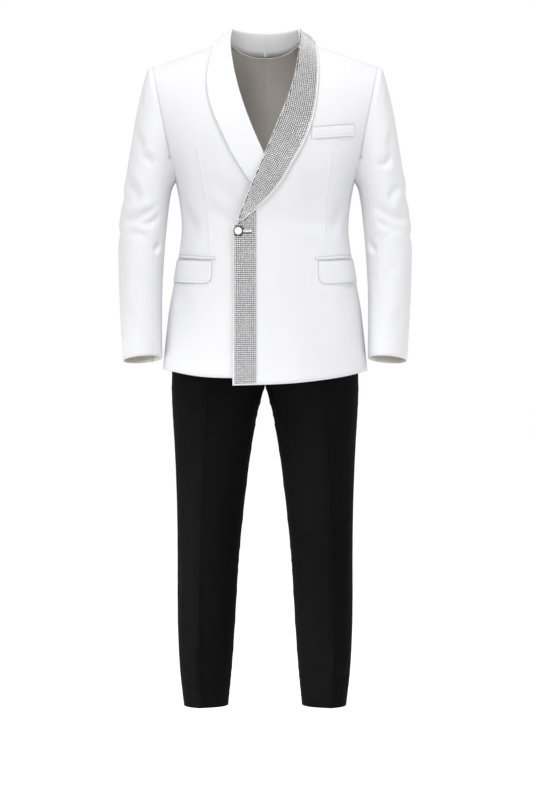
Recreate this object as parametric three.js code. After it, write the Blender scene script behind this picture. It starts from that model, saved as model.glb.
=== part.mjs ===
// A man's wrap-front dinner jacket with a shawl collar, and the straight trousers of the same suit.
// They keep the shape they have when worn: upright, hollow, with the sleeves just clear of the sides.
// Millimetres. +Z is up, -Y is the front and +X is the wearer's left. The origin is midway between
// the two neck points, where the jacket lies on the shoulders.
import * as THREE from "three";

// Cloth.
const WALL = 2; // thickness of every cloth wall
const SEAM_GAP = 0.4; // clearance between two pieces that are sewn edge to edge
const ROUNDNESS = 2.3; // 2 gives oval sections, more gives squarer ones
const DEGREE = Math.PI / 180;

// Jacket body, a row for each level. Widths are half widths; front and back are depths from the
// side line; the seams of the side body stand at that share of the depth.
const BODY = [
  { z: -750, width: 225, front: 143, back: 138, frontSeam: 0.48, backSeam: 0.56 },
  { z: -688, width: 220, front: 140, back: 134, frontSeam: 0.46, backSeam: 0.56 },
  { z: -621, width: 213, front: 137, back: 127, frontSeam: 0.42, backSeam: 0.55 },
  { z: -561, width: 206, front: 133, back: 119, frontSeam: 0.37, backSeam: 0.54 },
  { z: -506, width: 195, front: 129, back: 110, frontSeam: 0.35, backSeam: 0.52 },
  { z: -458, width: 187, front: 124, back: 102, frontSeam: 0.35, backSeam: 0.5 },
  { z: -429, width: 182, front: 120, back: 97, frontSeam: 0.35, backSeam: 0.5 },
  { z: -380, width: 179.5, front: 116, back: 94, frontSeam: 0.35, backSeam: 0.5 },
  { z: -333, width: 186, front: 123, back: 101, frontSeam: 0.36, backSeam: 0.49 },
  { z: -294, width: 193, front: 131, back: 112, frontSeam: 0.38, backSeam: 0.47 },
];

// Chest and shoulders, above the side body. The widths run on past the armhole, which cuts them.
const CHEST = [
  { z: -200, width: 236, front: 128, back: 122 },
  { z: -150, width: 256, front: 117, back: 117 },
  { z: -100, width: 272, front: 101, back: 106 },
  { z: -49, width: 286, front: 86, back: 92 },
  { z: 60, width: 300, front: 70, back: 74 },
];

// Shoulder line: its height over the centre, its slope, and how far below it the cloth turns over.
const SHOULDER_RISE = 39.6;
const SHOULDER_SLOPE = 0.36;
const SHOULDER_SOFTNESS = 25;
const TURN_OVER = 110;

// Armhole: a plane oval from the shoulder point down to the armpit.
const SHOULDER_X = 243;
const ARMPIT = { x: 193, z: -291 };
const ARMHOLE_DEPTH = 70; // half of it, front to back
const SIDE_SEAM_ANGLE = 130 * DEGREE; // where the side body's seams meet the armhole
const ARMHOLE_PULL = 4; // how fast the armhole's effect on the chest fades towards the middle

// Neck.
const NECK_HALF = 80;
const NECK_DROP = 48; // of the back neck under the shoulder line, at the centre

// Where the front is cut along the bottom: x is measured towards the panel's own side.
const OVER_HEM = [
  { x: -80, z: -733 },
  { x: 36, z: -729.5 },
  { x: 97, z: -724 },
  { x: 159, z: -715 },
  { x: 199, z: -706 },
  { x: 226, z: -694 },
];
const UNDER_HEM = [
  { x: -80, z: -718 },
  { x: 70, z: -717 },
  { x: 137, z: -714 },
  { x: 199, z: -702 },
  { x: 226, z: -692 },
];
const SIDE_HEM = -692;
const SIDE_HEM_ARCH = 4; // how far the side body's hem rises in its middle
const BACK_HEM = -702;

// Shawl collar round the neck, a row for each station from the centre back to the neck point:
// the crest where it folds, and its free edge, which lies on the back and shoulder.
const COLLAR_NECK = [
  { crestX: 0, crestY: 59, crestZ: 36, edgeX: 0, edgeZ: -34 },
  { crestX: 32, crestY: 54, crestZ: 36.5, edgeX: 43, edgeZ: -31 },
  { crestX: 57, crestY: 38, crestZ: 37, edgeX: 80, edgeZ: -20 },
  { crestX: 69, crestY: 20, crestZ: 37, edgeX: 100, edgeZ: -7 },
  { crestX: 73.5, crestY: 0, crestZ: 35, edgeX: 106, edgeZ: 0.4 },
];

// Lapels below the neck point: roll is the fold line and edge the free edge, both seen from the
// front, x towards the lapel's own side. The over lapel is the one with stones.
const OVER_LAPEL = [
  { rollX: 73, rollZ: 6, edgeX: 110, edgeZ: -18 },
  { rollX: 68.5, rollZ: -36, edgeX: 113, edgeZ: -62 },
  { rollX: 59, rollZ: -87, edgeX: 111, edgeZ: -108 },
  { rollX: 44, rollZ: -133, edgeX: 104, edgeZ: -156 },
  { rollX: 23.5, rollZ: -184, edgeX: 88, edgeZ: -208 },
  { rollX: -1.4, rollZ: -246, edgeX: 59, edgeZ: -264 },
  { rollX: -22, rollZ: -293, edgeX: 29, edgeZ: -312 },
  { rollX: -43, rollZ: -344, edgeX: -7, edgeZ: -352 },
  { rollX: -60.5, rollZ: -386, edgeX: -50, edgeZ: -388.5 },
];
const UNDER_LAPEL = [
  { rollX: 73, rollZ: 6, edgeX: 113, edgeZ: -20 },
  { rollX: 69, rollZ: -38, edgeX: 122, edgeZ: -60 },
  { rollX: 59, rollZ: -90, edgeX: 123, edgeZ: -104 },
  { rollX: 44, rollZ: -142, edgeX: 114, edgeZ: -148 },
  { rollX: 23, rollZ: -198, edgeX: 96, edgeZ: -191 },
  { rollX: 1.4, rollZ: -246, edgeX: 71, edgeZ: -244 },
  { rollX: -22, rollZ: -293, edgeX: 37, edgeZ: -298 },
  { rollX: -43, rollZ: -342, edgeX: 0, edgeZ: -345 },
  { rollX: -59.3, rollZ: -383, edgeX: -46, edgeZ: -383 },
];
const FOLD_RADIUS = 4; // of the collar's fold, outside
const FOLD_RETURN = 3; // of the under layer behind the fold
const FOLD_CLEARANCE = 1.8; // between that layer and the front's edge
const EDGE_LIFT = 3.6; // of the lapel's face over the front, at its free edge
const COLLAR_BULGE = 6; // of the fall round the neck
const NECK_OVAL = 1.2; // how much deeper than wide the collar's directions fan out
const NECK_BLEND = { before: 0.08, over: 0.12 }; // shares of the strip where it settles on the front

// The over front stands off the under front, and more where the under lapel lies between them.
const WRAP_EDGE = -68; // front edge below the button, towards the panel's own side
const WRAP_LIFT = 4.8;
const LAPEL_LIFT = 5.6;
const WRAP_FADE = { x: 68, over: 32, z: -262, lapelZ: -480, height: 90 }; // where the lifts fade out

// Trim of the jacket, x towards the wearer's left unless it is a pair.
const BAND = { inner: -64, outer: -19.4, lift: 0.8, thick: 1.2, overHem: 3, underLapel: 3 };
const BAND_CORNER = { x: -50, width: 14, drop: 6 }; // the band's top is lower near the front edge
const WELT = {
  inner: 98.5,
  outer: 189,
  innerTop: -190,
  outerTop: -180,
  height: 25,
  slant: 3,
  lift: 0.9,
  thick: 1.6,
};
const JET = { inner: 105, outerAngle: 80 * DEGREE, innerTop: -462, outerTop: -452, height: 6 };
const FLAP = {
  inner: 112,
  outerAngle: 90 * DEGREE,
  innerTop: -470.5,
  outerTop: -461,
  height: 48,
  width: 150,
  corner: 14,
};
const POCKET_LIFT = 0.6;
const JET_THICK = 1.4;
const FLAP_THICK = 2.4;
const BUTTON = { x: -55.5, z: -409, radius: 10.4, base: 2.5 };

// Profiles of the button's two parts: share of its radius, and height over its seat.
const CUP_PROFILE = [
  [0, 0],
  [0.88, 0],
  [1, 1.2],
  [1, 3.2],
  [0.92, 4],
  [0.85, 3.4],
  [0.82, 2.2],
  [0, 2.2],
];
const PEARL_PROFILE = [
  [0, 2.5],
  [0.76, 2.5],
  [0.79, 3.4],
  [0.68, 4.6],
  [0.4, 5.5],
  [0, 5.9],
];

// Sleeves, a row for each ring from the armhole to the cuff: its outermost and innermost points,
// its front and back, and how far its back edge hangs below its front edge.
const SLEEVE = [
  { outerX: 243, outerZ: -48.4, innerX: 193, innerZ: -291, front: -70, back: 70, tilt: 0 },
  { outerX: 250, outerZ: -49.5, innerX: 194.5, innerZ: -293, front: -73, back: 73, tilt: 0 },
  { outerX: 259, outerZ: -68, innerX: 196, innerZ: -296, front: -76, back: 77, tilt: 0 },
  { outerX: 269, outerZ: -108, innerX: 198, innerZ: -302, front: -78, back: 79, tilt: 0 },
  { outerX: 280, outerZ: -158, innerX: 200, innerZ: -312, front: -79, back: 78, tilt: 0 },
  { outerX: 290, outerZ: -219, innerX: 202.5, innerZ: -328, front: -79, back: 75, tilt: 0 },
  { outerX: 301, outerZ: -288, innerX: 205.5, innerZ: -352, front: -78, back: 71, tilt: 0 },
  { outerX: 309, outerZ: -338, innerX: 208.5, innerZ: -380, front: -77, back: 66, tilt: 0 },
  { outerX: 314, outerZ: -385, innerX: 211.5, innerZ: -412, front: -77, back: 60, tilt: 2 },
  { outerX: 316, outerZ: -432, innerX: 214, innerZ: -447, front: -79, back: 54, tilt: 4 },
  { outerX: 315, outerZ: -482, innerX: 217, innerZ: -488, front: -82, back: 46, tilt: 6 },
  { outerX: 313, outerZ: -535, innerX: 219, innerZ: -533, front: -85, back: 36, tilt: 9 },
  { outerX: 309, outerZ: -605, innerX: 219, innerZ: -600, front: -88, back: 24, tilt: 12 },
  { outerX: 304, outerZ: -680, innerX: 218, innerZ: -673, front: -90, back: 11, tilt: 14 },
];
const FRONT_ARM_SEAM = 129 * DEGREE;
const BACK_ARM_SEAM = -118 * DEGREE;

// The sleeves' largest folds: ring and angle of the deepest point (0 is the outer side and 90 the
// front), how deep, how many rings and degrees wide, and how many degrees the fold turns per ring.
const LEFT_SLEEVE_FOLDS = [
  { ring: 5.1, angle: 62, depth: 4, rings: 0.75, degrees: 60, turn: 30 },
  { ring: 6.6, angle: 96, depth: 5, rings: 0.75, degrees: 52, turn: -24 },
  { ring: 7.8, angle: 70, depth: 5, rings: 0.75, degrees: 48, turn: 26 },
  { ring: 9.2, angle: 104, depth: 4, rings: 0.75, degrees: 50, turn: -18 },
  { ring: 6.2, angle: -60, depth: 4, rings: 0.75, degrees: 50, turn: 20 },
  { ring: 8.3, angle: -84, depth: 4.5, rings: 0.75, degrees: 46, turn: -16 },
];
const RIGHT_SLEEVE_FOLDS = [
  { ring: 4.8, angle: 70, depth: 4.5, rings: 0.75, degrees: 58, turn: 28 },
  { ring: 6.3, angle: 88, depth: 5, rings: 0.75, degrees: 54, turn: -26 },
  { ring: 7.5, angle: 78, depth: 5.5, rings: 0.75, degrees: 46, turn: 22 },
  { ring: 8.8, angle: 100, depth: 4, rings: 0.75, degrees: 52, turn: -20 },
  { ring: 5.8, angle: -66, depth: 4, rings: 0.75, degrees: 48, turn: 22 },
  { ring: 8.0, angle: -80, depth: 4.5, rings: 0.75, degrees: 44, turn: -14 },
];

// Trouser leg, a row for each level: outer, inner and crease are distances from the middle, front
// and back are depths from the side seam, and seamY is where the inside leg seam runs.
const LEG = [
  { z: -1417, outer: 175, inner: 78, crease: 139, front: 64, back: 72, seamY: 2 },
  { z: -1348, outer: 183, inner: 71, crease: 143, front: 66, back: 75, seamY: 2 },
  { z: -1285, outer: 187, inner: 66, crease: 143, front: 66, back: 77, seamY: 2 },
  { z: -1222, outer: 189, inner: 62, crease: 143, front: 67, back: 79, seamY: 2 },
  { z: -1106, outer: 189, inner: 55, crease: 140, front: 70, back: 82, seamY: 2 },
  { z: -993, outer: 190, inner: 44, crease: 137, front: 77, back: 87, seamY: 4 },
  { z: -866, outer: 195, inner: 28, crease: 132, front: 90, back: 98, seamY: 7 },
  { z: -787, outer: 200, inner: 14, crease: 127, front: 98, back: 102, seamY: 10 },
  { z: -739, outer: 202, inner: 0, crease: 124, front: 103, back: 104, seamY: 12 },
  { z: -700, outer: 201, inner: 0, crease: 121, front: 107, back: 100, seamY: 12 },
  { z: -640, outer: 198, inner: 0, crease: 112, front: 109, back: 96, seamY: 12 },
  { z: -580, outer: 186, inner: 0, crease: 102, front: 104, back: 91, seamY: 12 },
  { z: -512, outer: 166, inner: 0, crease: 92, front: 93, back: 78, seamY: 12 },
  { z: -475, outer: 158, inner: 0, crease: 88, front: 90, back: 74, seamY: 12 },
];
const CROTCH = -739;
const BAND_BOTTOM = -512.6; // the waistband's lower edge
const WAIST = -476;
const CREASE_RIDGE = { height: 4, width: 0.08 }; // width as a share of half a leg's girth

// Centre seams of the trousers, from the crotch up: depth at the middle, front and back.
const FRONT_RISE = [
  { z: -739, y: 12 },
  { z: -731, y: -32 },
  { z: -706, y: -76 },
  { z: -662, y: -100 },
  { z: -590, y: -101 },
  { z: -513, y: -92 },
];
const BACK_RISE = [
  { z: -739, y: 12 },
  { z: -733, y: 56 },
  { z: -708, y: 96 },
  { z: -655, y: 114 },
  { z: -580, y: 110 },
  { z: -513, y: 88 },
];

// The legs' largest folds: height, which way round (0 is the side and 90 the front), depth, half
// height, half width in degrees, and how far the fold drops per degree.
const LEG_FOLDS = [
  { z: -1358, angle: 78, depth: 4.5, height: 15, degrees: 50, drop: 0.12 },
  { z: -1378, angle: -80, depth: 4, height: 15, degrees: 60, drop: -0.1 },
  { z: -1112, angle: -84, depth: 5, height: 22, degrees: 50, drop: 0.15 },
  { z: -800, angle: 118, depth: 4, height: 16, degrees: 40, drop: -0.5 },
];

// How finely each piece is divided, and how often a place on the yoke is worked out again.
const BODY_ROWS = [0, 0.07, 0.15, 0.23, 0.31, 0.39, 0.47, 0.55, 0.62, 0.69, 0.715, 0.77, 0.84, 0.92, 1];
const CHEST_ROWS = [0.1, 0.22, 0.35, 0.48, 0.62, 0.75, 0.88, 1];
const BACK_COLUMNS = [0, 0.09, 0.18, 0.26, NECK_HALF / SHOULDER_X, 0.46, 0.6, 0.75, 0.88, 1];
const LEG_LEVELS = [
  -1417, -1396, -1374, -1356, -1338, -1300, -1240, -1175, -1130, -1108, -1080, -1020, -945, -870, -816,
  -796, -770, -739,
];

const RISE_ROWS = 6; // above the crotch
const RISE_BEND = 1.5; // more gives closer rows near the crotch
const SETTLE = 14;
const SIDE_BLEND = 8; // how late the side body turns to meet the armhole
const CHEST_MIDDLE = -120; // a height inside the chest that every shoulder point looks away from

const IVORY = new THREE.Color(0.9, 0.9, 0.89);
const SATIN = new THREE.Color(0.93, 0.93, 0.92);
const BLACK = new THREE.Color(0.02, 0.02, 0.022);
const WOOL = new THREE.MeshStandardMaterial({ color: IVORY, roughness: 0.85 });
const WHITE_SATIN = new THREE.MeshStandardMaterial({ color: SATIN, roughness: 0.45 });
const STONES = new THREE.MeshStandardMaterial({ color: 0xb9bcc2, roughness: 0.2, metalness: 0.6 });
const TROUSER_WOOL = new THREE.MeshStandardMaterial({ color: BLACK, roughness: 0.8 });
const METAL = new THREE.MeshStandardMaterial({ color: 0x6f7074, roughness: 0.3, metalness: 1 });
const PEARL = new THREE.MeshStandardMaterial({ color: 0xe9e6e0, roughness: 0.25 });

const lerp = THREE.MathUtils.lerp;
const clamp = THREE.MathUtils.clamp;
const smooth = (t) => clamp(t, 0, 1) ** 2 * (3 - 2 * clamp(t, 0, 1));
const curvedPower = (value) => Math.sign(value) * Math.abs(value) ** (2 / ROUNDNESS);
const steps = (count) => Array.from({ length: count + 1 }, (_, i) => i / count);

// A column of a table as a smooth curve of its key, which rises down or up the table.
function column(rows, key, name) {
  const sorted = [...rows].sort((a, b) => a[key] - b[key]);
  const slope = (i, j) => (sorted[j][name] - sorted[i][name]) / (sorted[j][key] - sorted[i][key]);
  const last = sorted.length - 1;
  const tangent = (i) => slope(Math.max(i - 1, 0), Math.min(i + 1, last));
  return (at) => {
    let i = 0;
    while (i < last - 1 && at > sorted[i + 1][key]) i += 1;
    const width = sorted[i + 1][key] - sorted[i][key];
    const t = clamp((at - sorted[i][key]) / width, 0, 1);
    const [a, b] = [sorted[i][name], sorted[i + 1][name]];
    const bend = (tangent(i) * (1 - t) - tangent(i + 1) * t) * width;
    return a + (b - a) * t * t * (3 - 2 * t) + bend * t * (1 - t);
  };
}

// A table as an object of such curves, one for each of its columns.
function curves(rows, key) {
  const names = Object.keys(rows[0]).filter((name) => name !== key);
  return Object.fromEntries(names.map((name) => [name, column(rows, key, name)]));
}

// Shoulder line and armhole.
const shoulderZ = (x) => SHOULDER_RISE - SHOULDER_SLOPE * Math.hypot(x, SHOULDER_SOFTNESS);
const SHOULDER_Z = shoulderZ(SHOULDER_X);
const SHOULDER_OUT = new THREE.Vector3(SHOULDER_SLOPE, 0, 1).normalize();
const ARMHOLE = {
  x: (SHOULDER_X + ARMPIT.x) / 2,
  z: (SHOULDER_Z + ARMPIT.z) / 2,
  halfX: (SHOULDER_X - ARMPIT.x) / 2,
  halfZ: (SHOULDER_Z - ARMPIT.z) / 2,
};
const ARMHOLE_AXIS = new THREE.Vector3(ARMHOLE.halfZ, 0, -ARMHOLE.halfX).normalize();
const armhole = (angle) =>
  new THREE.Vector3(
    ARMHOLE.x + ARMHOLE.halfX * Math.cos(angle),
    -ARMHOLE_DEPTH * Math.sin(angle),
    ARMHOLE.z + ARMHOLE.halfZ * Math.cos(angle),
  );
const armholeAt = (z) => armhole(Math.acos(clamp((z - ARMHOLE.z) / ARMHOLE.halfZ, -1, 1)));
const SIDE_TOP = armhole(-SIDE_SEAM_ANGLE); // of its back seam; the front one has -y

// Jacket sections. At the side body's top, the front and back are as wide as the armhole needs.
function widthThrough(x, y, depth) {
  return x / (1 - (y / depth) ** ROUNDNESS) ** (1 / ROUNDNESS);
}

function jacketSide(depthName, seamName) {
  const depth = column([...BODY, ...CHEST], "z", depthName)(SIDE_TOP.z);
  const top = {
    z: SIDE_TOP.z,
    [depthName]: depth,
    width: widthThrough(SIDE_TOP.x, SIDE_TOP.y, depth),
    [seamName]: SIDE_TOP.y / depth,
  };
  const seams = [...BODY, top, { ...top, z: 0 }];
  const rows = [...BODY, top, ...CHEST];
  return {
    width: column(rows, "z", "width"),
    depth: column(rows, "z", depthName),
    seam: column(seams, "z", seamName),
  };
}
const FRONT = jacketSide("front", "frontSeam");
const BACK = jacketSide("back", "backSeam");

const across = (share) => (1 - clamp(share, 0, 1) ** ROUNDNESS) ** (1 / ROUNDNESS);
const seamX = (half, z) => half.width(z) * across(half.seam(z));

// How far the cloth stands from the side line at x and z, rolled over at the shoulder and pulled to
// the armhole's edge.
function depthAt(half, x, z) {
  const turned = clamp((shoulderZ(x) - z) / TURN_OVER, 0, 1);
  const plain = (at, share) => half.depth(z) * across(Math.abs(at) / half.width(z)) * share;
  const turn = Math.sqrt(1 - (1 - turned) ** 2);
  if (z <= SIDE_TOP.z) return plain(x, turn);
  const edge = armholeAt(z);
  const edgeTurned = clamp((shoulderZ(edge.x) - z) / TURN_OVER, 0, 1);
  const miss = Math.abs(edge.y) - plain(edge.x, Math.sqrt(1 - (1 - edgeTurned) ** 2));
  return plain(x, turn) + miss * (Math.abs(x) / edge.x) ** ARMHOLE_PULL;
}

// How far the over front stands off the body.
function wrapLift(x, z) {
  const reach = 1 - smooth((x - WRAP_FADE.x) / WRAP_FADE.over);
  const height = 1 - smooth((z - WRAP_FADE.z) / WRAP_FADE.height);
  const lapel = smooth((z - WRAP_FADE.lapelZ) / WRAP_FADE.height);
  return reach * height * (WRAP_LIFT + LAPEL_LIFT * lapel);
}

// Points of the jacket, x towards the panel's own side; over is true on the front that wraps over.
function frontPoint(x, z, over) {
  return new THREE.Vector3(x, -depthAt(FRONT, x, z) - (over ? wrapLift(x, z) : 0), z);
}
const backPoint = (x, z) => new THREE.Vector3(x, depthAt(BACK, x, z), z);

// A point round the body below the armhole: 0 is the middle of the front and 90 degrees the side.
function roundPoint(angle, z) {
  const from = Math.acos(FRONT.seam(z) ** (ROUNDNESS / 2));
  const to = Math.PI - Math.acos(BACK.seam(z) ** (ROUNDNESS / 2));
  const width = lerp(FRONT.width(z), BACK.width(z), smooth((angle - from) / (to - from)));
  const depth = angle < Math.PI / 2 ? FRONT.depth(z) : BACK.depth(z);
  return new THREE.Vector3(
    width * curvedPower(Math.sin(angle)),
    -depth * curvedPower(Math.cos(angle)),
    z,
  );
}
const frontAngle = (x, z) => Math.asin((x / FRONT.width(z)) ** (ROUNDNESS / 2));

const SMALL = 1e-3;
// The direction out of a surface given by a function of two shares, away from a place inside.
function outward(surface, u, v, inside) {
  const along = surface(Math.min(u + SMALL, 1), v).sub(surface(Math.max(u - SMALL, 0), v));
  const up = surface(u, Math.min(v + SMALL, 1)).sub(surface(u, Math.max(v - SMALL, 0)));
  const normal = along.cross(up).normalize();
  const away = surface(u, v).sub(inside(u, v));
  return away.dot(normal) < 0 ? normal.negate() : normal;
}

// Draws in the named edges of a grid by half a seam's gap: first and last row, first and last column.
function trim(grid, edges) {
  const last = grid.length - 1;
  const end = grid[0].length - 1;
  const nudge = (point, towards) => {
    const way = towards.clone().sub(point);
    return point.clone().addScaledVector(way.normalize(), SEAM_GAP / 2);
  };
  const rows = (i, j) => {
    for (let k = 0; k <= end; k += 1) grid[i][k] = nudge(grid[i][k], grid[j][k]);
  };
  const columns = (i, j) => {
    for (let k = 0; k <= last; k += 1) grid[k][i] = nudge(grid[k][i], grid[k][j]);
  };
  if (edges.includes("first row")) rows(0, 1);
  if (edges.includes("last row")) rows(last, last - 1);
  if (edges.includes("first column")) columns(0, 1);
  if (edges.includes("last column")) columns(end, end - 1);
}

// A closed solid between a grid of face points and the same grid set back.
function wall(name, face, back, side, material) {
  const rowCount = face.length;
  const columnCount = face[0].length;
  const positions = [];
  for (const grid of [face, back])
    for (const row of grid) for (const point of row) positions.push(point.x * side, point.y, point.z);
  const index = [];
  const at = (layer, i, j) => layer * rowCount * columnCount + i * columnCount + j;
  const quad = (a, b, c, d) => index.push(a, b, c, a, c, d);
  for (let i = 0; i < rowCount - 1; i += 1)
    for (let j = 0; j < columnCount - 1; j += 1) {
      quad(at(0, i, j), at(0, i, j + 1), at(0, i + 1, j + 1), at(0, i + 1, j));
      quad(at(1, i, j), at(1, i + 1, j), at(1, i + 1, j + 1), at(1, i, j + 1));
    }
  for (let j = 0; j < columnCount - 1; j += 1) {
    quad(at(0, 0, j), at(1, 0, j), at(1, 0, j + 1), at(0, 0, j + 1));
    const i = rowCount - 1;
    quad(at(0, i, j), at(0, i, j + 1), at(1, i, j + 1), at(1, i, j));
  }
  for (let i = 0; i < rowCount - 1; i += 1) {
    quad(at(0, i, 0), at(0, i + 1, 0), at(1, i + 1, 0), at(1, i, 0));
    const j = columnCount - 1;
    quad(at(0, i, j), at(1, i, j), at(1, i + 1, j), at(0, i + 1, j));
  }
  return solid(name, positions, index, material);
}

// A mesh whose faces point out, whichever way its grid ran.
function solid(name, positions, index, material) {
  const geometry = new THREE.BufferGeometry();
  geometry.setAttribute("position", new THREE.Float32BufferAttribute(positions, 3));
  const corner = (k) => new THREE.Vector3().fromArray(positions, 3 * index[k]);
  let volume = 0;
  for (let k = 0; k < index.length; k += 3)
    volume += corner(k).dot(corner(k + 1).cross(corner(k + 2)));
  geometry.setIndex(volume < 0 ? [...index].reverse() : index);
  geometry.computeVertexNormals();
  const mesh = new THREE.Mesh(geometry, material);
  mesh.name = name;
  return mesh;
}

// A panel: a surface over shares u (columns) and v (rows), its wall set back towards the inside.
function panel(name, side, surface, us, vs, options) {
  const { edges = [], inside, lift = 0, thick = WALL, material, adjust } = options;
  const face = vs.map((v) => us.map((u) => surface(u, v)));
  const out = vs.map((v) => us.map((u) => outward(surface, u, v, inside)));
  if (adjust) adjust(out, face);
  trim(face, edges);
  const moved = (by) => face.map((row, i) => row.map((p, j) => p.clone().addScaledVector(out[i][j], by)));
  return wall(name, moved(lift), moved(lift - thick), side, material);
}

// Front, side and back of the jacket. A share of 0 to 1 runs up the side body and 1 to 2 over it.
const ALL_ROWS = [...BODY_ROWS, ...CHEST_ROWS.map((share) => 1 + share)];
const upper = (top, share) => top - (top - SIDE_TOP.z) * (1 - share) ** 2;
const middle = (point) => new THREE.Vector3(0, 0, Math.min(point.z, CHEST_MIDDLE));

// The front edge of a panel: along the lapel's fold, then straight down.
const EDGE_TURN = [9, 69]; // how far below the fold the edge turns down, and is straight
function frontEdge(lapel) {
  const rows = lapel.map((row) => {
    const way = new THREE.Vector2(row.edgeX - row.rollX, row.edgeZ - row.rollZ).normalize();
    const inset = FOLD_RADIUS + FOLD_RETURN + FOLD_CLEARANCE;
    return { x: row.rollX + way.x * inset, z: row.rollZ + way.y * inset };
  });
  const foldEnd = rows.at(-1).z;
  for (const drop of EDGE_TURN) rows.push({ x: WRAP_EDGE, z: foldEnd - drop });
  rows.push({ x: WRAP_EDGE, z: BODY[0].z - WALL });
  rows.push({ x: NECK_HALF, z: shoulderZ(NECK_HALF) + SEAM_GAP });
  return column(rows, "z", "x");
}

function frontSurface(lapel, hem, over) {
  const edgeX = frontEdge(lapel);
  const hemZ = column(hem, "x", "z");
  const hemEnd = seamX(FRONT, SIDE_HEM);
  return (u, v) => {
    const share = v * 2;
    if (share <= 1) {
      const bottom = hemZ(lerp(WRAP_EDGE, hemEnd, u));
      const z = lerp(bottom, SIDE_TOP.z, share);
      return frontPoint(lerp(edgeX(z), seamX(FRONT, z), u), z, over);
    }
    let x = lerp(NECK_HALF, SHOULDER_X, u);
    let z = 0;
    for (let i = 0; i < SETTLE; i += 1) {
      z = upper(shoulderZ(x), share - 1);
      x = lerp(edgeX(z), armholeAt(z).x, u);
    }
    return frontPoint(x, z, over);
  };
}

function sideSurface(hem) {
  const frontHem = column(hem, "x", "z")(seamX(FRONT, SIDE_HEM));
  return (u, v) => {
    const angle = lerp(SIDE_SEAM_ANGLE, 2 * Math.PI - SIDE_SEAM_ANGLE, u);
    const top = armhole(angle);
    const bottom = lerp(frontHem, BACK_HEM, u) + SIDE_HEM_ARCH * Math.sin(Math.PI * u);
    const at = (z) => {
      const from = Math.acos(FRONT.seam(z) ** (ROUNDNESS / 2));
      const to = Math.PI - Math.acos(BACK.seam(z) ** (ROUNDNESS / 2));
      return roundPoint(lerp(from, to, u), z);
    };
    const miss = top.clone().sub(at(top.z));
    return at(lerp(bottom, top.z, v)).addScaledVector(miss, v ** SIDE_BLEND);
  };
}

function backSurface(u, v) {
  const share = v * 2;
  if (share <= 1) {
    const z = lerp(BACK_HEM, SIDE_TOP.z, share);
    return backPoint(seamX(BACK, z) * u, z);
  }
  let x = SHOULDER_X * u;
  let z = 0;
  for (let i = 0; i < SETTLE; i += 1) {
    const inNeck = clamp(1 - (x / NECK_HALF) ** 2, 0, 1);
    z = upper(shoulderZ(x) - NECK_DROP * inNeck, share - 1);
    x = armholeAt(z).x * u;
  }
  return backPoint(x, z);
}

// Keeps a jacket panel's wall on its own side of the armhole's plane.
function clearOfSleeve(end) {
  return (out) => {
    for (let i = BODY_ROWS.length - 1; i < out.length; i += 1) {
      const normal = out[i][end];
      const lean = normal.dot(ARMHOLE_AXIS);
      if (lean < 0) normal.addScaledVector(ARMHOLE_AXIS, -lean).normalize();
    }
  };
}

function jacketBody(side, name, lapel, hem, over) {
  const rows = ALL_ROWS.map((share) => share / 2);
  const front = frontSurface(lapel, hem, over);
  const inside = (surface) => (u, v) => middle(surface(u, v));
  const sides = sideSurface(hem);
  const frontColumns = steps(10);
  const sideColumns = steps(5);
  const matchSeams = (out, face) => {
    for (const [j, point] of [[0, (x, z) => frontPoint(x, z, over)], [sideColumns.length - 1, backPoint]])
      for (let i = 0; i < out.length; i += 1) out[i][j] = surfaceOut(point, face[i][j].x, face[i][j].z);
  };
  return [
    panel("jacket_front_" + name, side, front, frontColumns, rows, {
      edges: ["last row", "last column"],
      inside: inside(front),
      material: WOOL,
      adjust: clearOfSleeve(frontColumns.length - 1),
    }),
    panel("jacket_side_" + name, side, sides, sideColumns, BODY_ROWS, {
      edges: ["last row", "first column", "last column"],
      inside: inside(sides),
      material: WOOL,
      adjust: matchSeams,
    }),
    panel("jacket_back_" + name, side, backSurface, BACK_COLUMNS, rows, {
      edges: ["last row", "first column", "last column"],
      inside: inside(backSurface),
      material: WOOL,
      adjust: clearOfSleeve(BACK_COLUMNS.length - 1),
    }),
  ];
}

// Sleeves. A ring is an oval in the plane through its outermost and innermost points.
const RING = curves(SLEEVE.map((row, ring) => ({ ring, ...row })), "ring");

function foldsAt(folds, ring, angle) {
  return folds.reduce((sum, fold) => {
    const along = (ring - fold.ring) / fold.rings;
    const centre = fold.angle + fold.turn * (ring - fold.ring);
    const turned = THREE.MathUtils.euclideanModulo(angle / DEGREE - centre + 180, 360) - 180;
    const round = turned / fold.degrees;
    return sum + fold.depth * Math.exp(-along * along - round * round);
  }, 0);
}

function sleeveSurface(folds, from, to) {
  const centreAt = (ring) =>
    new THREE.Vector3(
      (RING.outerX(ring) + RING.innerX(ring)) / 2,
      (RING.front(ring) + RING.back(ring)) / 2,
      (RING.outerZ(ring) + RING.innerZ(ring)) / 2,
    );
  const surface = (u, v) => {
    const angle = lerp(from, to, u);
    const ring = v * (SLEEVE.length - 1);
    const centre = centreAt(ring);
    const half = new THREE.Vector3(RING.outerX(ring), centre.y, RING.outerZ(ring)).sub(centre);
    const depth = (RING.back(ring) - RING.front(ring)) / 2;
    const arm = half.multiplyScalar(Math.cos(angle));
    arm.y -= depth * Math.sin(angle);
    const drop = (RING.tilt(ring) / 2) * Math.sin(angle);
    const length = arm.length();
    arm.multiplyScalar((length - foldsAt(folds, ring, angle)) / length);
    arm.z += drop;
    return centre.add(arm);
  };
  return { surface, inside: (u, v) => centreAt(v * (SLEEVE.length - 1)) };
}

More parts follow.
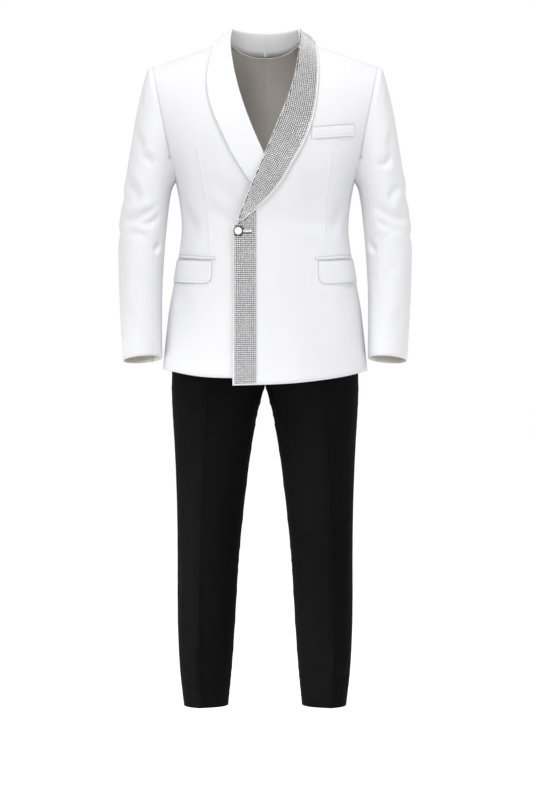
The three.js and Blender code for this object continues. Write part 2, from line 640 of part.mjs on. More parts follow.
function sleeve(side, name, folds) {
  const last = SLEEVE.length - 1;
  const rows = [0, 0.35, 1, ...steps(18).slice(2).map((share) => share * last)].map((ring) => ring / last);
  const keepOut = (out) => {
    for (const normal of out[0]) {
      const over = normal.dot(ARMHOLE_AXIS);
      if (over > 0) normal.addScaledVector(ARMHOLE_AXIS, -over).normalize();
    }
  };
  const piece = (label, from, to, count) => {
    const { surface, inside } = sleeveSurface(folds, from, to);
    return panel(label + name, side, surface, steps(count), rows, {
      edges: ["first row", "first column", "last column"],
      inside,
      material: WOOL,
      adjust: keepOut,
    });
  };
  return [
    piece("sleeve_top_", BACK_ARM_SEAM, FRONT_ARM_SEAM, 12),
    piece("sleeve_under_", FRONT_ARM_SEAM, BACK_ARM_SEAM + 2 * Math.PI, 5),
  ];
}

// Collar and lapel: one strip from the centre back round the neck and down to the button. Each
// station has a crest, the way its fall runs, the way out of the cloth, and where its stand is sewn.
function collarStations(lapel, over) {
  const stations = COLLAR_NECK.map((row) => {
    const crest = new THREE.Vector3(row.crestX, row.crestY, row.crestZ);
    const seat = backPoint(row.edgeX, row.edgeZ);
    const onShoulder = Math.abs(row.edgeZ - shoulderZ(row.edgeX)) < 1;
    const seatOut = onShoulder ? SHOULDER_OUT.clone() : surfaceOut(backPoint, row.edgeX, row.edgeZ);
    const edge = seat.addScaledVector(seatOut, EDGE_LIFT);
    const out = new THREE.Vector3(row.crestX, row.crestY * NECK_OVAL, 0).normalize();
    const fall = new THREE.Vector3(0, 0, -1);
    const centre = crest.clone().addScaledVector(fall, FOLD_RADIUS);
    const neckX = NECK_HALF * out.x;
    const neckZ = shoulderZ(neckX) - NECK_DROP * (1 - (neckX / NECK_HALF) ** 2);
    const root = backPoint(neckX, neckZ).addScaledVector(out, -WALL);
    root.z += SEAM_GAP * 2;
    return { centre, fall, out, edge, root, edgeOut: seatOut };
  });
  for (const row of lapel) {
    const point = (x, z) => frontPoint(x, z, over);
    const out = surfaceOut(point, row.rollX, row.rollZ);
    const edgeOut = surfaceOut(point, row.edgeX, row.edgeZ);
    const way = new THREE.Vector2(row.edgeX - row.rollX, row.edgeZ - row.rollZ).normalize();
    const roll = point(row.rollX, row.rollZ);
    const fall = point(row.rollX + way.x, row.rollZ + way.y).sub(roll).normalize();
    const centre = roll.clone().addScaledVector(fall, FOLD_RADIUS);
    centre.addScaledVector(out, FOLD_RADIUS - WALL);
    const root = centre.clone().addScaledVector(out, -FOLD_RADIUS).addScaledVector(fall, FOLD_RETURN);
    const edge = point(row.edgeX, row.edgeZ).addScaledVector(edgeOut, EDGE_LIFT);
    stations.push({ centre, fall, out, edge, root, edgeOut });
  }
  return stations;
}

// The way out of the jacket at a place of its front or back.
function surfaceOut(point, x, z) {
  const along = point(x + 0.5, z).sub(point(x - 0.5, z));
  const up = point(x, z + 0.5).sub(point(x, z - 0.5));
  const normal = along.cross(up).normalize();
  return normal.dot(point(x, z).setZ(0)) < 0 ? normal.negate() : normal;
}

const FOLD_ANGLES = [-90, -45, 0, 45, 90].map((angle) => angle * DEGREE);
const FALL_SHARES = [0.25, 0.5, 0.75, 1];

function collar(side, name, lapel, over, material) {
  const stations = collarStations(lapel, over);
  const lines = {};
  for (const key of Object.keys(stations[0])) {
    const points = stations.map((station) => station[key]);
    lines[key] = new THREE.CatmullRomCurve3(points, false, "centripetal");
  }
  const neckShare = COLLAR_NECK.length / (stations.length - 1);
  const face = [];
  const back = [];
  for (const share of steps(28)) {
    const at = (key) => lines[key].getPoint(share);
    const centre = at("centre");
    const fall = at("fall").normalize();
    const out = at("out");
    out.addScaledVector(fall, -out.dot(fall)).normalize();
    const root = at("root");
    const edge = at("edge");
    const onFront = smooth((share - neckShare + NECK_BLEND.before) / NECK_BLEND.over);
    const points = [root];
    const inwards = [out.clone()];
    for (const angle of FOLD_ANGLES) {
      const arm = fall.clone().multiplyScalar(-Math.cos(angle)).addScaledVector(out, Math.sin(angle));
      points.push(centre.clone().addScaledVector(arm, FOLD_RADIUS));
      inwards.push(arm.negate());
    }
    const start = points.at(-1);
    for (const v of FALL_SHARES) {
      const point = start.clone().lerp(edge, v);
      const normal = out.clone().lerp(at("edgeOut"), v).normalize();
      point.addScaledVector(normal, COLLAR_BULGE * Math.sin(Math.PI * v) * (1 - onFront));
      if (onFront > 0) {
        const lift = lerp(2 * FOLD_RADIUS - WALL, EDGE_LIFT, v);
        const skin = frontPoint(point.x, point.z, over);
        const skinOut = surfaceOut((x, z) => frontPoint(x, z, over), point.x, point.z);
        point.y = lerp(point.y, skin.y + lift / skinOut.y, onFront);
      }
      points.push(point);
      inwards.push(normal.negate());
    }
    face.push(points);
    back.push(inwards);
  }
  trim(face, ["first row"]);
  const rear = face.map((row, i) => row.map((p, j) => p.clone().addScaledVector(back[i][j], WALL)));
  return wall("lapel_" + name, face, rear, side, material);
}

// A flat piece that lies on the body: place gives x and z, or an angle and z, for shares u and v.
function patch(name, side, place, us, vs, lift, thick, material) {
  return panel(name, side, place, us, vs, {
    inside: (u, v) => middle(place(u, v)),
    lift: lift + thick,
    thick,
    material,
  });
}

function pocket(side, name) {
  const place = (spec, bottom) => (u, v) => {
    const top = lerp(spec.innerTop, spec.outerTop, u);
    const z = lerp(bottom(u, top), top, v);
    const from = frontAngle(spec.inner, z);
    return roundPoint(lerp(from, spec.outerAngle, u), z);
  };
  const flapBottom = (u, top) => {
    const corner = Math.max(0, 1 - (u * FLAP.width) / FLAP.corner);
    return top - FLAP.height + FLAP.corner * (1 - Math.sqrt(1 - corner * corner));
  };
  const jetBottom = (u, top) => top - JET.height;
  const flapColumns = [0, 0.02, 0.05, 0.1, ...steps(9).slice(2)];
  const jet = place(JET, jetBottom);
  const flap = place(FLAP, flapBottom);
  return [
    patch("pocket_jet_" + name, side, jet, steps(9), [0, 1], POCKET_LIFT, JET_THICK, WOOL),
    patch("pocket_flap_" + name, side, flap, flapColumns, steps(3), POCKET_LIFT, FLAP_THICK, WOOL),
  ];
}

function chestWelt() {
  const place = (u, v) => {
    const top = lerp(WELT.innerTop, WELT.outerTop, u);
    const x = lerp(WELT.inner, WELT.outer, u) - WELT.slant * (1 - v);
    return frontPoint(x, top - WELT.height * (1 - v), true);
  };
  return patch("chest_pocket_welt", 1, place, steps(6), steps(2), WELT.lift, WELT.thick, WOOL);
}

// The stone band: under the lapel's edge at its top, just over the hem at its bottom.
function frontBand() {
  const lapelEdge = column(OVER_LAPEL.map((row) => ({ x: row.edgeX, z: row.edgeZ })), "x", "z");
  const hemZ = column(OVER_HEM, "x", "z");
  const place = (u, v) => {
    const x = lerp(BAND.inner, BAND.outer, u);
    const corner = BAND_CORNER.drop * smooth((BAND_CORNER.x - x) / BAND_CORNER.width);
    const top = lapelEdge(Math.max(x, BAND_CORNER.x)) - BAND.underLapel - corner;
    return frontPoint(x, lerp(hemZ(x) + BAND.overHem, top, v), true);
  };
  return patch("front_band", 1, place, steps(4), steps(12), BAND.lift, BAND.thick, STONES);
}

// The button: a turned metal cup with a pearl cap in it, square to the cloth.
function button() {
  const profile = (rows) =>
    rows.map(([share, height]) => new THREE.Vector2(share * BUTTON.radius, height));
  const cup = profile(CUP_PROFILE);
  const cap = profile(PEARL_PROFILE);
  const seat = frontPoint(BUTTON.x, BUTTON.z, true);
  const out = surfaceOut((x, z) => frontPoint(x, z, true), BUTTON.x, BUTTON.z);
  const holder = new THREE.Group();
  holder.position.copy(seat).addScaledVector(out, BUTTON.base);
  holder.quaternion.setFromUnitVectors(new THREE.Vector3(0, 1, 0), out);
  for (const [name, points, material] of [["button_cup", cup, METAL], ["button_pearl", cap, PEARL]]) {
    const mesh = new THREE.Mesh(new THREE.LatheGeometry(points, 20), material);
    mesh.name = name;
    holder.add(mesh);
  }
  return holder;
}

// Trousers. Half a leg runs from the side seam (0) over the crease (90 degrees) to the inner seam.
const LEG_AT = curves(LEG, "z");

function legSurface(depthName, rise, forward) {
  const riseY = column(rise, "z", "y");
  const levels = LEG_LEVELS.length - 1;
  const total = levels + RISE_ROWS;
  return (u, v) => {
    const angle = Math.PI * u;
    const place = v * total;
    const i = Math.min(Math.floor(place), levels - 1);
    let z = lerp(LEG_LEVELS[i], LEG_LEVELS[Math.min(i + 1, levels)], clamp(place - i, 0, 1));
    let innerY = LEG_AT.seamY(z);
    if (place > levels) {
      const share = (place - levels) / RISE_ROWS;
      const innerZ = lerp(CROTCH, BAND_BOTTOM, share ** RISE_BEND);
      const outerZ = lerp(CROTCH, BAND_BOTTOM, share);
      innerY = riseY(innerZ);
      z = lerp(outerZ, innerZ, (1 - Math.cos(angle)) / 2);
    }
    const depth = LEG_AT[depthName](z);
    const outerHalf = angle < Math.PI / 2;
    const crease = LEG_AT.crease(z);
    const reach = outerHalf ? LEG_AT.outer(z) - crease : crease - Math.max(LEG_AT.inner(z), 0);
    const arch = curvedPower(Math.max(Math.sin(angle), 0));
    const hold = (forward * innerY) / depth;
    const bulge = outerHalf ? arch : hold + (1 - hold) * arch;
    const ridge = CREASE_RIDGE.height * clamp(1 - Math.abs(u - 0.5) / CREASE_RIDGE.width, 0, 1);
    const turned = (forward < 0 ? 1 : -1) * (angle / DEGREE);
    const dent = LEG_FOLDS.reduce((sum, fold) => {
      const up = (z - fold.z + fold.drop * (turned - fold.angle)) / fold.height;
      const round = (turned - fold.angle) / fold.degrees;
      return sum + fold.depth * Math.exp(-up * up - round * round);
    }, 0);
    return new THREE.Vector3(
      Math.max(crease + reach * curvedPower(Math.cos(angle)), SEAM_GAP / 2),
      forward * (depth * bulge + (ridge - dent) * arch),
      z,
    );
  };
}

function trousers(side, name) {
  const rows = steps(LEG_LEVELS.length - 1 + RISE_ROWS);
  const columns = [0, 0.11, 0.26, 0.42, 0.5, 0.58, 0.74, 0.89, 1];
  const keepOwnSide = (out) => {
    for (const row of out.slice(LEG_LEVELS.length - 1)) {
      const normal = row.at(-1);
      normal.setX(Math.min(normal.x, 0)).normalize();
    }
  };
  const piece = (label, depthName, rise, forward) => {
    const surface = legSurface(depthName, rise, forward);
    const inside = (u, v) => {
      const { z } = surface(u, v);
      return new THREE.Vector3(LEG_AT.crease(z), 0, z);
    };
    return panel(label + name, side, surface, columns, rows, {
      edges: ["last row", "first column", "last column"],
      inside,
      material: TROUSER_WOOL,
      adjust: keepOwnSide,
    });
  };
  return [
    piece("trouser_front_", "front", FRONT_RISE, -1),
    piece("trouser_back_", "back", BACK_RISE, 1),
    waistband(side, name),
  ];
}

function waistband(side, name) {
  const surface = (u, v) => {
    const z = lerp(BAND_BOTTOM, WAIST, v);
    const angle = Math.PI * u;
    const depth = angle < Math.PI / 2 ? LEG_AT.front(z) : LEG_AT.back(z);
    return new THREE.Vector3(
      LEG_AT.outer(z) * curvedPower(Math.sin(angle)),
      -depth * curvedPower(Math.cos(angle)),
      z,
    );
  };
  return panel("waistband_" + name, side, surface, steps(16), [0, 1], {
    edges: ["first row", "first column", "last column"],
    inside: (u, v) => new THREE.Vector3(0, 0, surface(u, v).z),
    material: TROUSER_WOOL,
  });
}

const suit = new THREE.Group();
suit.add(
  ...jacketBody(1, "left", OVER_LAPEL, OVER_HEM, true),
  ...jacketBody(-1, "right", UNDER_LAPEL, UNDER_HEM, false),
  ...sleeve(1, "left", LEFT_SLEEVE_FOLDS),
  ...sleeve(-1, "right", RIGHT_SLEEVE_FOLDS),
  collar(1, "left", OVER_LAPEL, true, STONES),
  collar(-1, "right", UNDER_LAPEL, false, WHITE_SATIN),
  ...pocket(1, "left"),
  ...pocket(-1, "right"),
  chestWelt(),
  frontBand(),
  button(),
  ...trousers(1, "left"),
  ...trousers(-1, "right"),
);
export default suit;
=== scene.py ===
import math

import bmesh
import bpy
import numpy as np
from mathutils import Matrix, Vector
from mathutils.bvhtree import BVHTree
from mathutils.kdtree import KDTree


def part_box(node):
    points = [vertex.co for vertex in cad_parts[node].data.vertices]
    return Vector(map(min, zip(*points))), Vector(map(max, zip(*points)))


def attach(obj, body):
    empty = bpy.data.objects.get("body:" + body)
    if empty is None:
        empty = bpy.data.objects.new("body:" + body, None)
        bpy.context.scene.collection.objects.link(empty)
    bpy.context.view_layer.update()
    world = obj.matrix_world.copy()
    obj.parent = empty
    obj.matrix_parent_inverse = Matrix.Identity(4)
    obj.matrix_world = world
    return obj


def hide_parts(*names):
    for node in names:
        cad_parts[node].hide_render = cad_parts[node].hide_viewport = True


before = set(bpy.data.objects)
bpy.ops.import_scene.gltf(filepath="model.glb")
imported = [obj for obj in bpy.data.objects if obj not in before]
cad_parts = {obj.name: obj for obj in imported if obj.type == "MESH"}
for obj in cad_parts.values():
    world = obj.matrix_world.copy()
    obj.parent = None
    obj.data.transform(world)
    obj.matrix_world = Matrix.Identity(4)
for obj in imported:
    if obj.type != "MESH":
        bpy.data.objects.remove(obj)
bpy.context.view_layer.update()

# Trousers.
# Black worsted wool, a front and a back to each leg, joined by seams down the outside and inside of
# the leg and pressed to a crease down the middle of both. The waistband is two straight strips.
MM = 0.001
SAME_POINT = 0.02 * MM  # corners of the solid's faces that are one corner
EDGE_ANGLE = math.radians(50)  # the cut edges of a wall turn at least this sharply
SEAM_REACH = 0.7 * MM  # corners of two pieces that are sewn together are this close
SEAM_DEPTH = 0.7 * MM  # how far a pressed seam lies below the cloth beside it
FLAT_ANGLE = math.radians(40)  # triangles that meet flatter than this are paired
SHAPE_ANGLE = math.radians(70)  # the most that a pair's corners may be from square


def close_ends(form):
    """Closes a shell that is open along its seams, with a wall from its outside to its inside."""
    edges = {edge for edge in form.edges if len(edge.link_faces) == 1}
    while edges:
        edge = edges.pop()
        first, corner = edge.verts
        ring = [first]
        while corner is not first:
            ring.append(corner)
            edge = next(e for e in corner.link_edges if e in edges)
            edges.remove(edge)
            corner = edge.other_vert(corner)
        half = len(ring) // 2
        places = np.array([corner.co for corner in ring])
        turn = np.arange(1, half)

        def spread(end):
            across = places[(end + turn) % len(ring)] - places[end - turn]
            return np.abs(across).sum()

        end = min(range(len(ring)), key=spread)
        ring = ring[end:] + ring[:end]
        form.faces.new((ring[0], ring[1], ring[-1]))
        for i in range(1, half - 1):
            form.faces.new((ring[i], ring[i + 1], ring[-i - 1], ring[-i]))
        form.faces.new((ring[half - 1], ring[half], ring[-half + 1]))
    bmesh.ops.recalc_face_normals(form, faces=form.faces)
    if form.calc_volume(signed=True) < 0:
        bmesh.ops.reverse_faces(form, faces=form.faces)


def sewn(nodes, seams=(), rounds=2):
    """Finer, smooth copies of cut pieces: their cut edges stay crisp, and cloth runs on smoothly
    from piece to piece at a seam, where it is pressed in to a fine line."""
    form = bmesh.new()
    for number, node in enumerate(nodes):
        count = len(form.faces)
        form.from_mesh(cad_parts[node].data)
        form.faces.ensure_lookup_table()
        for face in form.faces[count:]:
            face.material_index = number
    bmesh.ops.remove_doubles(form, verts=form.verts, dist=SAME_POINT)
    joined = {}
    for first, second in seams:
        own = [v for v in form.verts if v.link_faces[0].material_index == nodes.index(first)]
        others = [v for v in form.verts if v.link_faces[0].material_index == nodes.index(second)]
        tree = KDTree(len(others))
        for k, corner in enumerate(others):
            tree.insert(corner.co, k)
        tree.balance()
        for corner in own:
            place, k, apart = tree.find(corner.co)
            if apart < SEAM_REACH:
                others[k].co = (corner.co + place) / 2
                corner.co = others[k].co
                joined[corner] = others[k]
    at_seam = set(joined) | set(joined.values())
    walls = [face for face in form.faces if all(corner in at_seam for corner in face.verts)]
    bmesh.ops.delete(form, geom=walls, context="FACES_ONLY")
    bmesh.ops.weld_verts(form, targetmap=joined)
    bmesh.ops.join_triangles(
        form,
        faces=form.faces,
        cmp_materials=True,
        angle_face_threshold=FLAT_ANGLE,
        angle_shape_threshold=SHAPE_ANGLE,
    )
    crisp = form.edges.layers.float.new("crease_edge")
    for edge in form.edges:
        if len(edge.link_faces) == 2 and edge.calc_face_angle() > EDGE_ANGLE:
            edge[crisp] = 1.0
    whole = bpy.data.objects.new("sewn", bpy.data.meshes.new("sewn"))
    form.to_mesh(whole.data)
    form.free()
    bpy.context.scene.collection.objects.link(whole)
    finer = whole.modifiers.new("finer", "SUBSURF")
    finer.levels = rounds
    view = bpy.context.evaluated_depsgraph_get()
    fine = bpy.data.meshes.new_from_object(whole.evaluated_get(view))
    bpy.data.objects.remove(whole)

    pieces = {}
    for number, node in enumerate(nodes):
        form = bmesh.new()
        form.from_mesh(fine)
        for corner in form.verts:
            if len({face.material_index for face in corner.link_faces}) > 1:
                corner.co -= corner.normal * SEAM_DEPTH
        rest = [face for face in form.faces if face.material_index != number]
        bmesh.ops.delete(form, geom=rest, context="FACES")
        close_ends(form)
        for face in form.faces:
            face.material_index = 0
        mesh = bpy.data.meshes.new(node + "_cloth")
        form.to_mesh(mesh)
        form.free()
        mesh.shade_smooth()
        mesh.set_sharp_from_angle(angle=EDGE_ANGLE)
        mesh.materials.clear()
        piece = bpy.data.objects.new(node + "_cloth", mesh)
        bpy.context.scene.collection.objects.link(piece)
        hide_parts(node)
        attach(piece, "root")
        pieces[node] = piece
    return pieces


def corners_of(piece):
    """The piece's corners as rows of x, y and z."""
    places = np.empty(3 * len(piece.data.vertices))
    piece.data.vertices.foreach_get("co", places)
    return places.reshape(-1, 3)


FRONT_LEAN = 1.2  # how much more to the front and back the way out leans than to the sides
TURN_OVER_HEIGHT = 120 * MM  # over which the way out turns up at the shoulders


class Form:
    """A limb or the body as a column of ovals: where its middle is at each height, and how big."""

    def __init__(self, rows, turn_over=None):
        table = np.array(rows)[::-1] * MM
        self.z, self.x, self.y, self.half_x, self.half_y = table.T
        self.turn_over = turn_over

    def chart(self, places):
        """Each place's angle in degrees (0 outwards or at the front), and its way out."""
        middle_x = np.interp(places[:, 2], self.z, self.x)
        middle_y = np.interp(places[:, 2], self.z, self.y)
        across = (places[:, 0] - middle_x) / np.interp(places[:, 2], self.z, self.half_x)
        along = (places[:, 1] - middle_y) / np.interp(places[:, 2], self.z, self.half_y)
        way = np.stack([across, along * FRONT_LEAN, np.zeros(len(across))], axis=1)
        if self.turn_over is not None:
            way[:, 2] = np.clip((places[:, 2] - self.turn_over) / TURN_OVER_HEIGHT, 0, 2)
        way /= np.linalg.norm(way, axis=1)[:, None] + 1e-9
        return across, along, way


FOLD_REACH = 0.46  # of a fold's length, from its middle to where it has nearly died out
RIDGE_HEIGHT = 0.45  # of the ridge beside a trough, as a share of the trough's depth
RIDGE_PLACE = 1.6  # from the trough's middle, in trough widths


def drape(piece, form, folds, side=1, from_front=False):
    """Presses soft troughs and ridges into a piece: each is a bowed line round the form."""
    places = corners_of(piece)
    seen = places * [side, 1, 1]
    across, along, way = form.chart(seen)
    angle = np.degrees(np.arctan2(across, -along) if from_front else np.arctan2(-along, across))
    radius = np.mean(form.half_x + form.half_y) / 2
    move = np.zeros(len(places))
    for angle_0, z_0, angle_1, z_1, bow, depth, width in folds:
        middle = (angle_0 + angle_1) / 2
        turned = (angle - middle + 180) % 360 - 180
        start = np.array([math.radians(angle_0 - middle) * radius, z_0 * MM])
        line = np.array([math.radians(angle_1 - middle) * radius, z_1 * MM]) - start
        length = np.linalg.norm(line)
        offset = np.stack([np.radians(turned) * radius, places[:, 2]], axis=1) - start
        share = offset @ line / length**2
        apart = (offset[:, 1] * line[0] - offset[:, 0] * line[1]) / length
        apart = (apart - bow * MM * 4 * share * (1 - share)) / (width * MM)
        fade = np.exp(-((np.abs(share - 0.5) / FOLD_REACH) ** 4))
        trough = RIDGE_HEIGHT * np.exp(-((apart - RIDGE_PLACE) ** 2)) - np.exp(-apart * apart)
        move += depth * MM * fade * trough
    places += way * [side, 1, 1] * move[:, None]
    piece.data.vertices.foreach_set("co", places.ravel())
    piece.data.update()


class Shader:
    """Node helper for one material: its nodes are added and linked by plain calls."""

    def __init__(self, name, colour, **sockets):
        self.material = bpy.data.materials.new(name)
        self.material.use_nodes = True
        self.nodes = self.material.node_tree.nodes
        self.links = self.material.node_tree.links
        self.surface = self.nodes["Principled BSDF"]
        self.surface.inputs["Base Color"].default_value = (*colour, 1)
        for socket, value in sockets.items():
            self.surface.inputs[socket.replace("_", " ")].default_value = value
        self.place = self.nodes.new("ShaderNodeTexCoord").outputs["Object"]

    def noise(self, scale, detail=3.0, stretch=(1, 1, 1)):
        """Soft mottling; a patch is about 1/scale metres across."""
        mapping = self.nodes.new("ShaderNodeMapping")
        mapping.inputs["Scale"].default_value = stretch
        texture = self.nodes.new("ShaderNodeTexNoise")
        texture.inputs["Scale"].default_value = scale
        texture.inputs["Detail"].default_value = detail
        self.links.new(self.place, mapping.inputs["Vector"])
        self.links.new(mapping.outputs["Vector"], texture.inputs["Vector"])
        return texture.outputs["Fac"]

    def ribs(self, pitch, direction="DIAGONAL", distortion=0.6):
        """Parallel ribs, pitch metres apart."""
        texture = self.nodes.new("ShaderNodeTexWave")
        texture.bands_direction = direction
        texture.inputs["Scale"].default_value = math.pi / (10 * pitch)
        texture.inputs["Distortion"].default_value = distortion
        texture.inputs["Detail"].default_value = 1.0
        self.links.new(self.place, texture.inputs["Vector"])
        return texture.outputs["Fac"]

    def sum(self, first, first_share, second, second_share):
        """Two patterns added, each with its share."""
        scaled = self.nodes.new("ShaderNodeMath")
        scaled.operation = "MULTIPLY"
        scaled.inputs[1].default_value = first_share
        self.links.new(first, scaled.inputs[0])
        total = self.nodes.new("ShaderNodeMath")
        total.operation = "MULTIPLY_ADD"
        total.inputs[1].default_value = second_share
        self.links.new(second, total.inputs[0])
        self.links.new(scaled.outputs[0], total.inputs[2])
        return total.outputs[0]

    def blend(self, pattern, low, high, first, second):
        """A colour that runs from first to second as the pattern runs from low to high."""
        ramp = self.nodes.new("ShaderNodeValToRGB")
        ramp.color_ramp.elements[0].position = low
        ramp.color_ramp.elements[1].position = high
        ramp.color_ramp.elements[0].color = (*first, 1)
        ramp.color_ramp.elements[1].color = (*second, 1)
        self.links.new(pattern, ramp.inputs["Fac"])
        self.links.new(ramp.outputs["Color"], self.surface.inputs["Base Color"])

    def rough(self, pattern, least, most):
        """Roughness that runs from least to most with the pattern."""
        span = self.nodes.new("ShaderNodeMapRange")
        span.inputs["To Min"].default_value = least
        span.inputs["To Max"].default_value = most
        self.links.new(pattern, span.inputs["Value"])
        self.links.new(span.outputs["Result"], self.surface.inputs["Roughness"])

    def relief(self, pattern, height, strength=1.0):
        """Raises the surface by up to height metres with the pattern."""
        bump = self.nodes.new("ShaderNodeBump")
        bump.inputs["Distance"].default_value = height
        bump.inputs["Strength"].default_value = strength
        self.links.new(pattern, bump.inputs["Height"])
        self.links.new(bump.outputs["Normal"], self.surface.inputs["Normal"])


RAY_START = 60 * MM  # how far out of the cloth a search for it starts
FRONT_Y = -0.3  # metres; all the cloth lies behind it


class Surface:
    """A piece's cloth, to set small work on the side of it that looks away from the wearer."""

    def __init__(self, piece):
        places = [corner.co for corner in piece.data.vertices]
        self.tree = BVHTree.FromPolygons(places, [face.vertices[:] for face in piece.data.polygons])

    def meets(self, place, way):
        """Where a line coming in against way, through a place, first meets the cloth."""
        found, out, _, _ = self.tree.ray_cast(place + way * RAY_START, -way)
        return found, out

    def from_front(self, x, z):
        """The same for a line from the front at x and z, in millimetres."""
        return self.meets(Vector((x * MM, FRONT_Y, z * MM)), Vector((0, -1, 0)))


def new_piece(name, places, faces, material):
    """A piece made from corners and faces, which rides with the garment."""
    mesh = bpy.data.meshes.new(name)
    mesh.from_pydata(places, [], faces)
    mesh.update()
    mesh.materials.append(material)
    piece = bpy.data.objects.new(name, mesh)
    bpy.context.scene.collection.objects.link(piece)
    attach(piece, "root")
    return piece


def strip(name, line, section, material, closed=False):
    """A long narrow piece: the section, (across, height) in millimetres, swept along a line of
    places, each with its way out."""
    places = []
    for i, (place, out) in enumerate(line):
        ahead = line[min(i + 1, len(line) - 1)][0] - line[max(i - 1, 0)][0]
        across = ahead.normalized().cross(out).normalized()
        places += [place + across * (a * MM) + out * (h * MM) for a, h in section]
    count = len(section)
    faces = []
    for i in range(len(line) - 1):
        for j in range(count if closed else count - 1):
            a = i * count + j
            b = i * count + (j + 1) % count
            faces.append((a, b, b + count, a + count))
    if closed:
        faces.append(tuple(range(count))[::-1])
        faces.append(tuple((len(line) - 1) * count + j for j in range(count)))
    piece = new_piece(name, places, faces, material)
    piece.data.shade_smooth()
    return piece


def points_on(surface, turns, gap):
    """Places on the cloth along a bent line of (x, z), about gap millimetres apart."""
    line = []
    for (x_0, z_0), (x_1, z_1) in zip(turns, turns[1:]):
        count = max(1, round(math.hypot(x_1 - x_0, z_1 - z_0) / gap))
        for i in range(count):
            line.append(surface.from_front(x_0 + (x_1 - x_0) * i / count, z_0 + (z_1 - z_0) * i / count))
    line.append(surface.from_front(*turns[-1]))
    return line


def twill(name, dark, light, height, rib, **sockets):
    """Woven wool: fine diagonal ribs, a little nap and slow, faint mottling."""
    shader = Shader(name, light, **sockets)
    nap = shader.noise(1400, 2.0)
    weave = shader.sum(shader.ribs(rib), 0.7, nap, 0.3)
    slow = shader.noise(9, 4.0, (1, 1, 0.4))
    tone = shader.sum(slow, 0.75, nap, 0.25)
    shader.blend(tone, 0.3, 0.7, dark, light)
    shader.rough(nap, 0.72, 0.9)
    shader.relief(weave, height)
    return shader.material


BLACK_WOOL = twill(
    "black_worsted",
    dark=(0.0036, 0.0036, 0.0037),
    light=(0.0056, 0.0056, 0.0057),
    height=0.12 * MM,
    rib=0.9 * MM,
    Specular_IOR_Level=0.02,
)
# z, x and y of the leg's middle, and its half width and half depth.
LEG = Form(
    [
        (-475, 84, -8, 84, 84),
        (-700, 108, -4, 98, 104),
        (-866, 116, 3, 84, 95),
        (-1106, 126, 5, 67, 77),
        (-1417, 128, 4, 50, 68),
    ]
)
# Folds, a row for each: angle round the leg (0 outside, 90 front) and height of its two ends, then
# how far it bows, how deep it is and how wide.
LEFT_LEG_FOLDS = [
    (28, -1352, 84, -1366, 5, 3.1, 9),
    (100, -1338, 150, -1352, -4, 2.3, 9),
    (60, -1322, 118, -1310, 4, 1.6, 11),
    (-30, -1380, -100, -1362, 5, 2.9, 10),
    (-70, -1118, -140, -1136, 5, 2.9, 14),
    (-40, -1078, -120, -1092, -6, 2.1, 15),
    (96, -1122, 158, -1108, 4, 1.6, 14),
    (60, -1010, 90, -1150, 4, 1.2, 16),
    (150, -762, 108, -842, 8, 2.9, 13),
    (168, -778, 136, -900, 6, 2.1, 14),
    (-150, -748, -100, -830, -7, 2.6, 15),
    (22, -1060, 32, -1240, 3, 1.3, 14),
]
RIGHT_LEG_FOLDS = [
    (34, -1360, 92, -1350, -5, 2.9, 9),
    (96, -1372, 156, -1358, 4, 2.2, 9),
    (50, -1330, 104, -1318, 5, 1.7, 11),
    (-26, -1366, -96, -1380, -5, 2.6, 10),
    (-64, -1108, -134, -1126, 6, 2.9, 14),
    (-46, -1068, -124, -1080, -5, 2.0, 15),
    (92, -1104, 152, -1124, -4, 1.6, 14),
    (66, -990, 84, -1140, -4, 1.2, 16),
    (152, -770, 112, -850, 7, 2.7, 13),
    (166, -790, 130, -884, 7, 2.1, 14),
    (-152, -752, -104, -836, -7, 2.5, 15),
    (26, -1080, 20, -1250, 3, 1.3, 14),
]
# Height and x of the pressed crease, the same on the front and the back.
CREASE = np.array([(-1417, 139), (-1222, 143), (-993, 137), (-866, 132), (-739, 124), (-512, 92)]) * MM
CREASE_HEIGHT = 2.4 * MM
CREASE_WIDTH = 5 * MM
CREASE_TOP = -520 * MM  # where it starts to rise out of the cloth
CREASE_FADE = 120 * MM  # over which it does
CREASE_EDGE_TOP = -600 * MM  # the sharp edge is only pressed in below this
CREASE_STEP = 8
# Across and height of the sharp edge along the front crease: it falls off steeply to one side.
CREASE_SECTION = [(-5, -0.4), (-1.6, 0.7), (0, 1.6), (0.7, 0.1), (2.5, 0), (5, -0.4)]


def press_crease(leg, side):
    """Raises the ridge of the crease out of the front and the back of a leg."""
    places = corners_of(leg)
    middle = np.interp(places[:, 2], CREASE[:, 0], CREASE[:, 1])
    apart = np.abs(places[:, 0] * side - middle)
    ridge = CREASE_HEIGHT * np.exp(-apart / CREASE_WIDTH)
    ridge *= np.clip((CREASE_TOP - places[:, 2]) / CREASE_FADE, 0, 1)
    places[:, 1] += np.sign(places[:, 1]) * ridge
    leg.data.vertices.foreach_set("co", places.ravel())
    leg.data.update()


for name, side, folds in (("left", 1, LEFT_LEG_FOLDS), ("right", -1, RIGHT_LEG_FOLDS)):
    front, back, band = f"trouser_front_{name}", f"trouser_back_{name}", f"waistband_{name}"
    leg = sewn([front, back], seams=[(front, back)])
    for node, flat, area in ((front, (0.33, 0.94), 0.2193), (back, (0.34, 0.95), 0.225)):
        drape(leg[node], LEG, folds, side)
        press_crease(leg[node], side)
        leg[node].data.materials.append(BLACK_WOOL)
    turns = [(side * x / MM, z / MM) for z, x in CREASE[::-1] if z < CREASE_EDGE_TOP]
    line = points_on(Surface(leg[front]), turns, CREASE_STEP)
    strip(f"crease_{name}", line, CREASE_SECTION, BLACK_WOOL)
    waist = sewn([band])[band]
    waist.data.materials.append(BLACK_WOOL)

